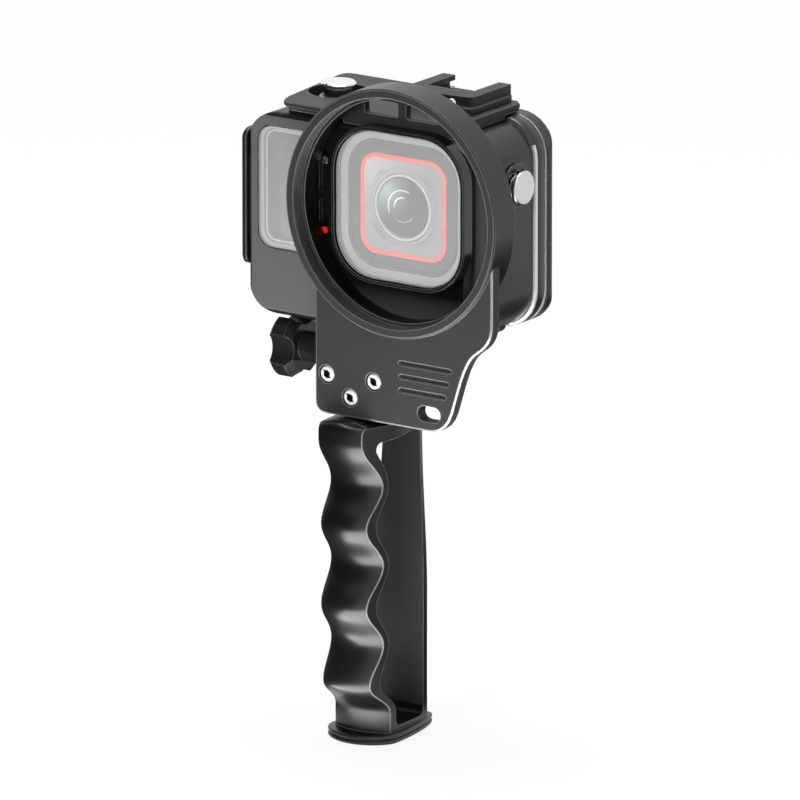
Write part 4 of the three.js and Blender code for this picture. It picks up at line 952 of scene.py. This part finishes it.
def grip_section(z):
    """The grip's outline at one height: an arched nose, a narrow crease, tapering flanks, a back."""
    reach = CROWN_HALF * math.sqrt((CROWN_TOP - z) / CROWN_DROP)
    edge = wave(SIDE_EDGE, z)
    back = wave(LOOP_BACK, z) + GRIP_BACK_WALL
    half = min(flank(edge, back, z), reach)
    back_half = min(flank(back, back, z), reach)
    nose = wave(NOSE, z)
    radius = (half * half + nose * nose) / (2 * nose)

    def front_at(x):
        return edge - nose + radius - math.sqrt(radius ** 2 - x ** 2) + roll_back(x, z)

    right = []
    for i in range(1, FRONT_STEPS + 1):
        x = (half - CREASE_WIDTH) * math.sin(math.pi / 2 * i / FRONT_STEPS)
        right.append((x, front_at(x)))
    start = front_at(half) + CREASE_DEPTH
    end = back - 1
    for i in range(FLANK_STEPS + 1):
        y = start + (end - start) * i / FLANK_STEPS
        right.append((min(flank(y, back, z), reach), y))
    right += [(back_half - 0.3, back - 0.3), (back_half - 1, back)]
    left = [(-x, y) for x, y in reversed(right)]
    return [(0, front_at(0))] + right + left


def bezier(points, t):
    """The place at share t along a curve that its first and last points end, and others draw."""
    degree = len(points) - 1
    weights = [math.comb(degree, k) * t ** k * (1 - t) ** (degree - k) for k in range(degree + 1)]
    return tuple(sum(weight * point[axis] for weight, point in zip(weights, points)) for axis in (0, 1))


def loop_opening():
    """The hand's opening, which goes through the grip from side to side."""
    low = LOOP_BOTTOM + LOOP_CORNER
    high = LOOP_TOP - LOOP_CORNER
    edge = []
    for i in range(LOOP_FRONT_STEPS + 1):
        z = low + (high - low) * i / LOOP_FRONT_STEPS
        edge.append((wave(SIDE_EDGE, z) + wave(FRONT_WALL, z), z))

    def corner(start, control, end):
        edge.extend(bezier((start, control, end), i / 8) for i in range(1, 8))

    front_low = edge[0][0]
    front_high = edge[-1][0]
    back_low = wave(LOOP_BACK, low)
    back_high = wave(LOOP_BACK, high)
    corner((front_high, high), (front_high, LOOP_TOP), (front_high + LOOP_CORNER, LOOP_TOP))
    edge += [(front_high + LOOP_CORNER, LOOP_TOP), (back_high - LOOP_CORNER, LOOP_TOP)]
    corner((back_high - LOOP_CORNER, LOOP_TOP), (back_high, LOOP_TOP), (back_high, high))
    for i in range(LOOP_BACK_STEPS, -1, -1):
        z = low + (high - low) * i / LOOP_BACK_STEPS
        edge.append((wave(LOOP_BACK, z), z))
    corner((back_low, low), (back_low, LOOP_BOTTOM), (back_low - LOOP_CORNER, LOOP_BOTTOM))
    edge += [(back_low - LOOP_CORNER, LOOP_BOTTOM), (front_low + LOOP_CORNER, LOOP_BOTTOM)]
    corner((front_low + LOOP_CORNER, LOOP_BOTTOM), (front_low, LOOP_BOTTOM), (front_low, low))
    return loft("loop_opening", [[(x, y, z) for y, z in edge] for x in (-LOOP_REACH, LOOP_REACH)])


def flange_outline(inset):
    """The foot's outline, drawn in by an inset."""
    front = FLANGE_FRONT + inset
    back = FLANGE_BACK - inset
    half = FLANGE_HALF - inset
    curves = (
        ((0, front), (half * 0.6, front), (half, front + 5), (half, GRIP_WIDEST)),
        ((half, GRIP_WIDEST), (half, 3), (8.5 - inset, back), (FLANGE_BACK_HALF, back)),
    )
    right = [bezier(curve, i / 16) for curve in curves for i in range(16)]
    right.append((FLANGE_BACK_HALF, back))
    return right + [(-x, y) for x, y in reversed(right[1:])]


def beaded_foot():
    """Two round beads about the foot with a narrow groove between them."""
    rings = []
    for low, high in BEADS:
        for i in range(9):
            turn = math.pi * i / 8
            z = (low + high) / 2 - (high - low) / 2 * math.cos(turn)
            rings.append([(x, y, z) for x, y in flange_outline(BEAD_DEPTH * (1 - math.sin(turn)))])
    return loft("beaded_foot", rings)


def box(name, half, front, back, low, high):
    """A block about the middle plane, from a depth to a depth and from a height to a height."""
    outline = [(-half, front), (half, front), (half, back), (-half, back)]
    return loft(name, [[(x, y, z) for x, y in outline] for z in (low, high)])


def combine(piece, other, operation):
    """Cuts, joins or keeps one closed shape by another, which is then thrown away."""
    cut = piece.modifiers.new("cut", "BOOLEAN")
    cut.operation = operation
    cut.solver = "EXACT"
    cut.object = other
    graph = bpy.context.evaluated_depsgraph_get()
    result = bpy.data.meshes.new_from_object(piece.evaluated_get(graph))
    piece.modifiers.clear()
    piece.data = result
    bpy.data.objects.remove(other)


def is_loop_back(at, normal):
    return normal.y < -0.8 and 7 < at.y < 13 and 8 < at.z < 93


grip_black = finish("grip_black", grey(0.004), 0.33, grain=0.04, edge_highlight=grey(0.3))
# Painted highlight: a grey strip along each crease of the front, where light catches it.
grip_crease_highlight = finish("grip_crease_highlight", grey(0.12), 0.4, grain=0.04)
# Painted light: a lighter, rougher copy of the grip finish on the loop's inner back wall, for the even grey
# light seen there.
grip_inside_painted_light = finish("grip_inside_painted_light", grey(0.03), 0.45)

heights = [GRIP_FOOT + (CROWN_START - GRIP_FOOT) * i / WALL_STEPS for i in range(WALL_STEPS + 1)]
heights += [CROWN_START + (CROWN_END - CROWN_START) * math.sin(math.pi / 2 * i / CROWN_STEPS)
            for i in range(1, CROWN_STEPS + 1)]
sections = [[(x, y, z) for x, y in grip_section(z)] for z in heights]
crease_highlight_strips = (FRONT_STEPS, len(sections[0]) - 1 - FRONT_STEPS)
grip = loft("grip_casting", sections, second_finish=crease_highlight_strips)
grip.data.materials.append(grip_black)
grip.data.materials.append(grip_crease_highlight)
combine(grip, loop_opening(), "DIFFERENCE")
foot = beaded_foot()
head_room = box("head_room", half=13, front=-12, back=14, low=95.42, high=130)
neck_room = box("neck_room", half=7.05, front=-7, back=12, low=94.2, high=96)
combine(head_room, neck_room, "UNION")
head = cad_copy("grip_handle", "grip_head")
combine(head, head_room, "INTERSECT")
combine(grip, foot, "UNION")
combine(grip, head, "UNION")
smooth_faces(grip, GRIP_SHARP_EDGE)
paint(grip, grip_inside_painted_light, is_loop_back)
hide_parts("grip_handle")
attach(grip, "housing")


# Thumb screw
# A four-lobed plastic knob on a long neck, moulded on a steel shaft. It clamps the housing's
# fingers between the grip's, against a steel nut.

knob_black = finish("knob_black", grey(0.012), 0.3, grain=0.12, edge_highlight=grey(0.1))
dress("thumb_knob", knob_black)
dress("thumb_shaft", turned_steel)
dress("mount_nut", turned_steel)
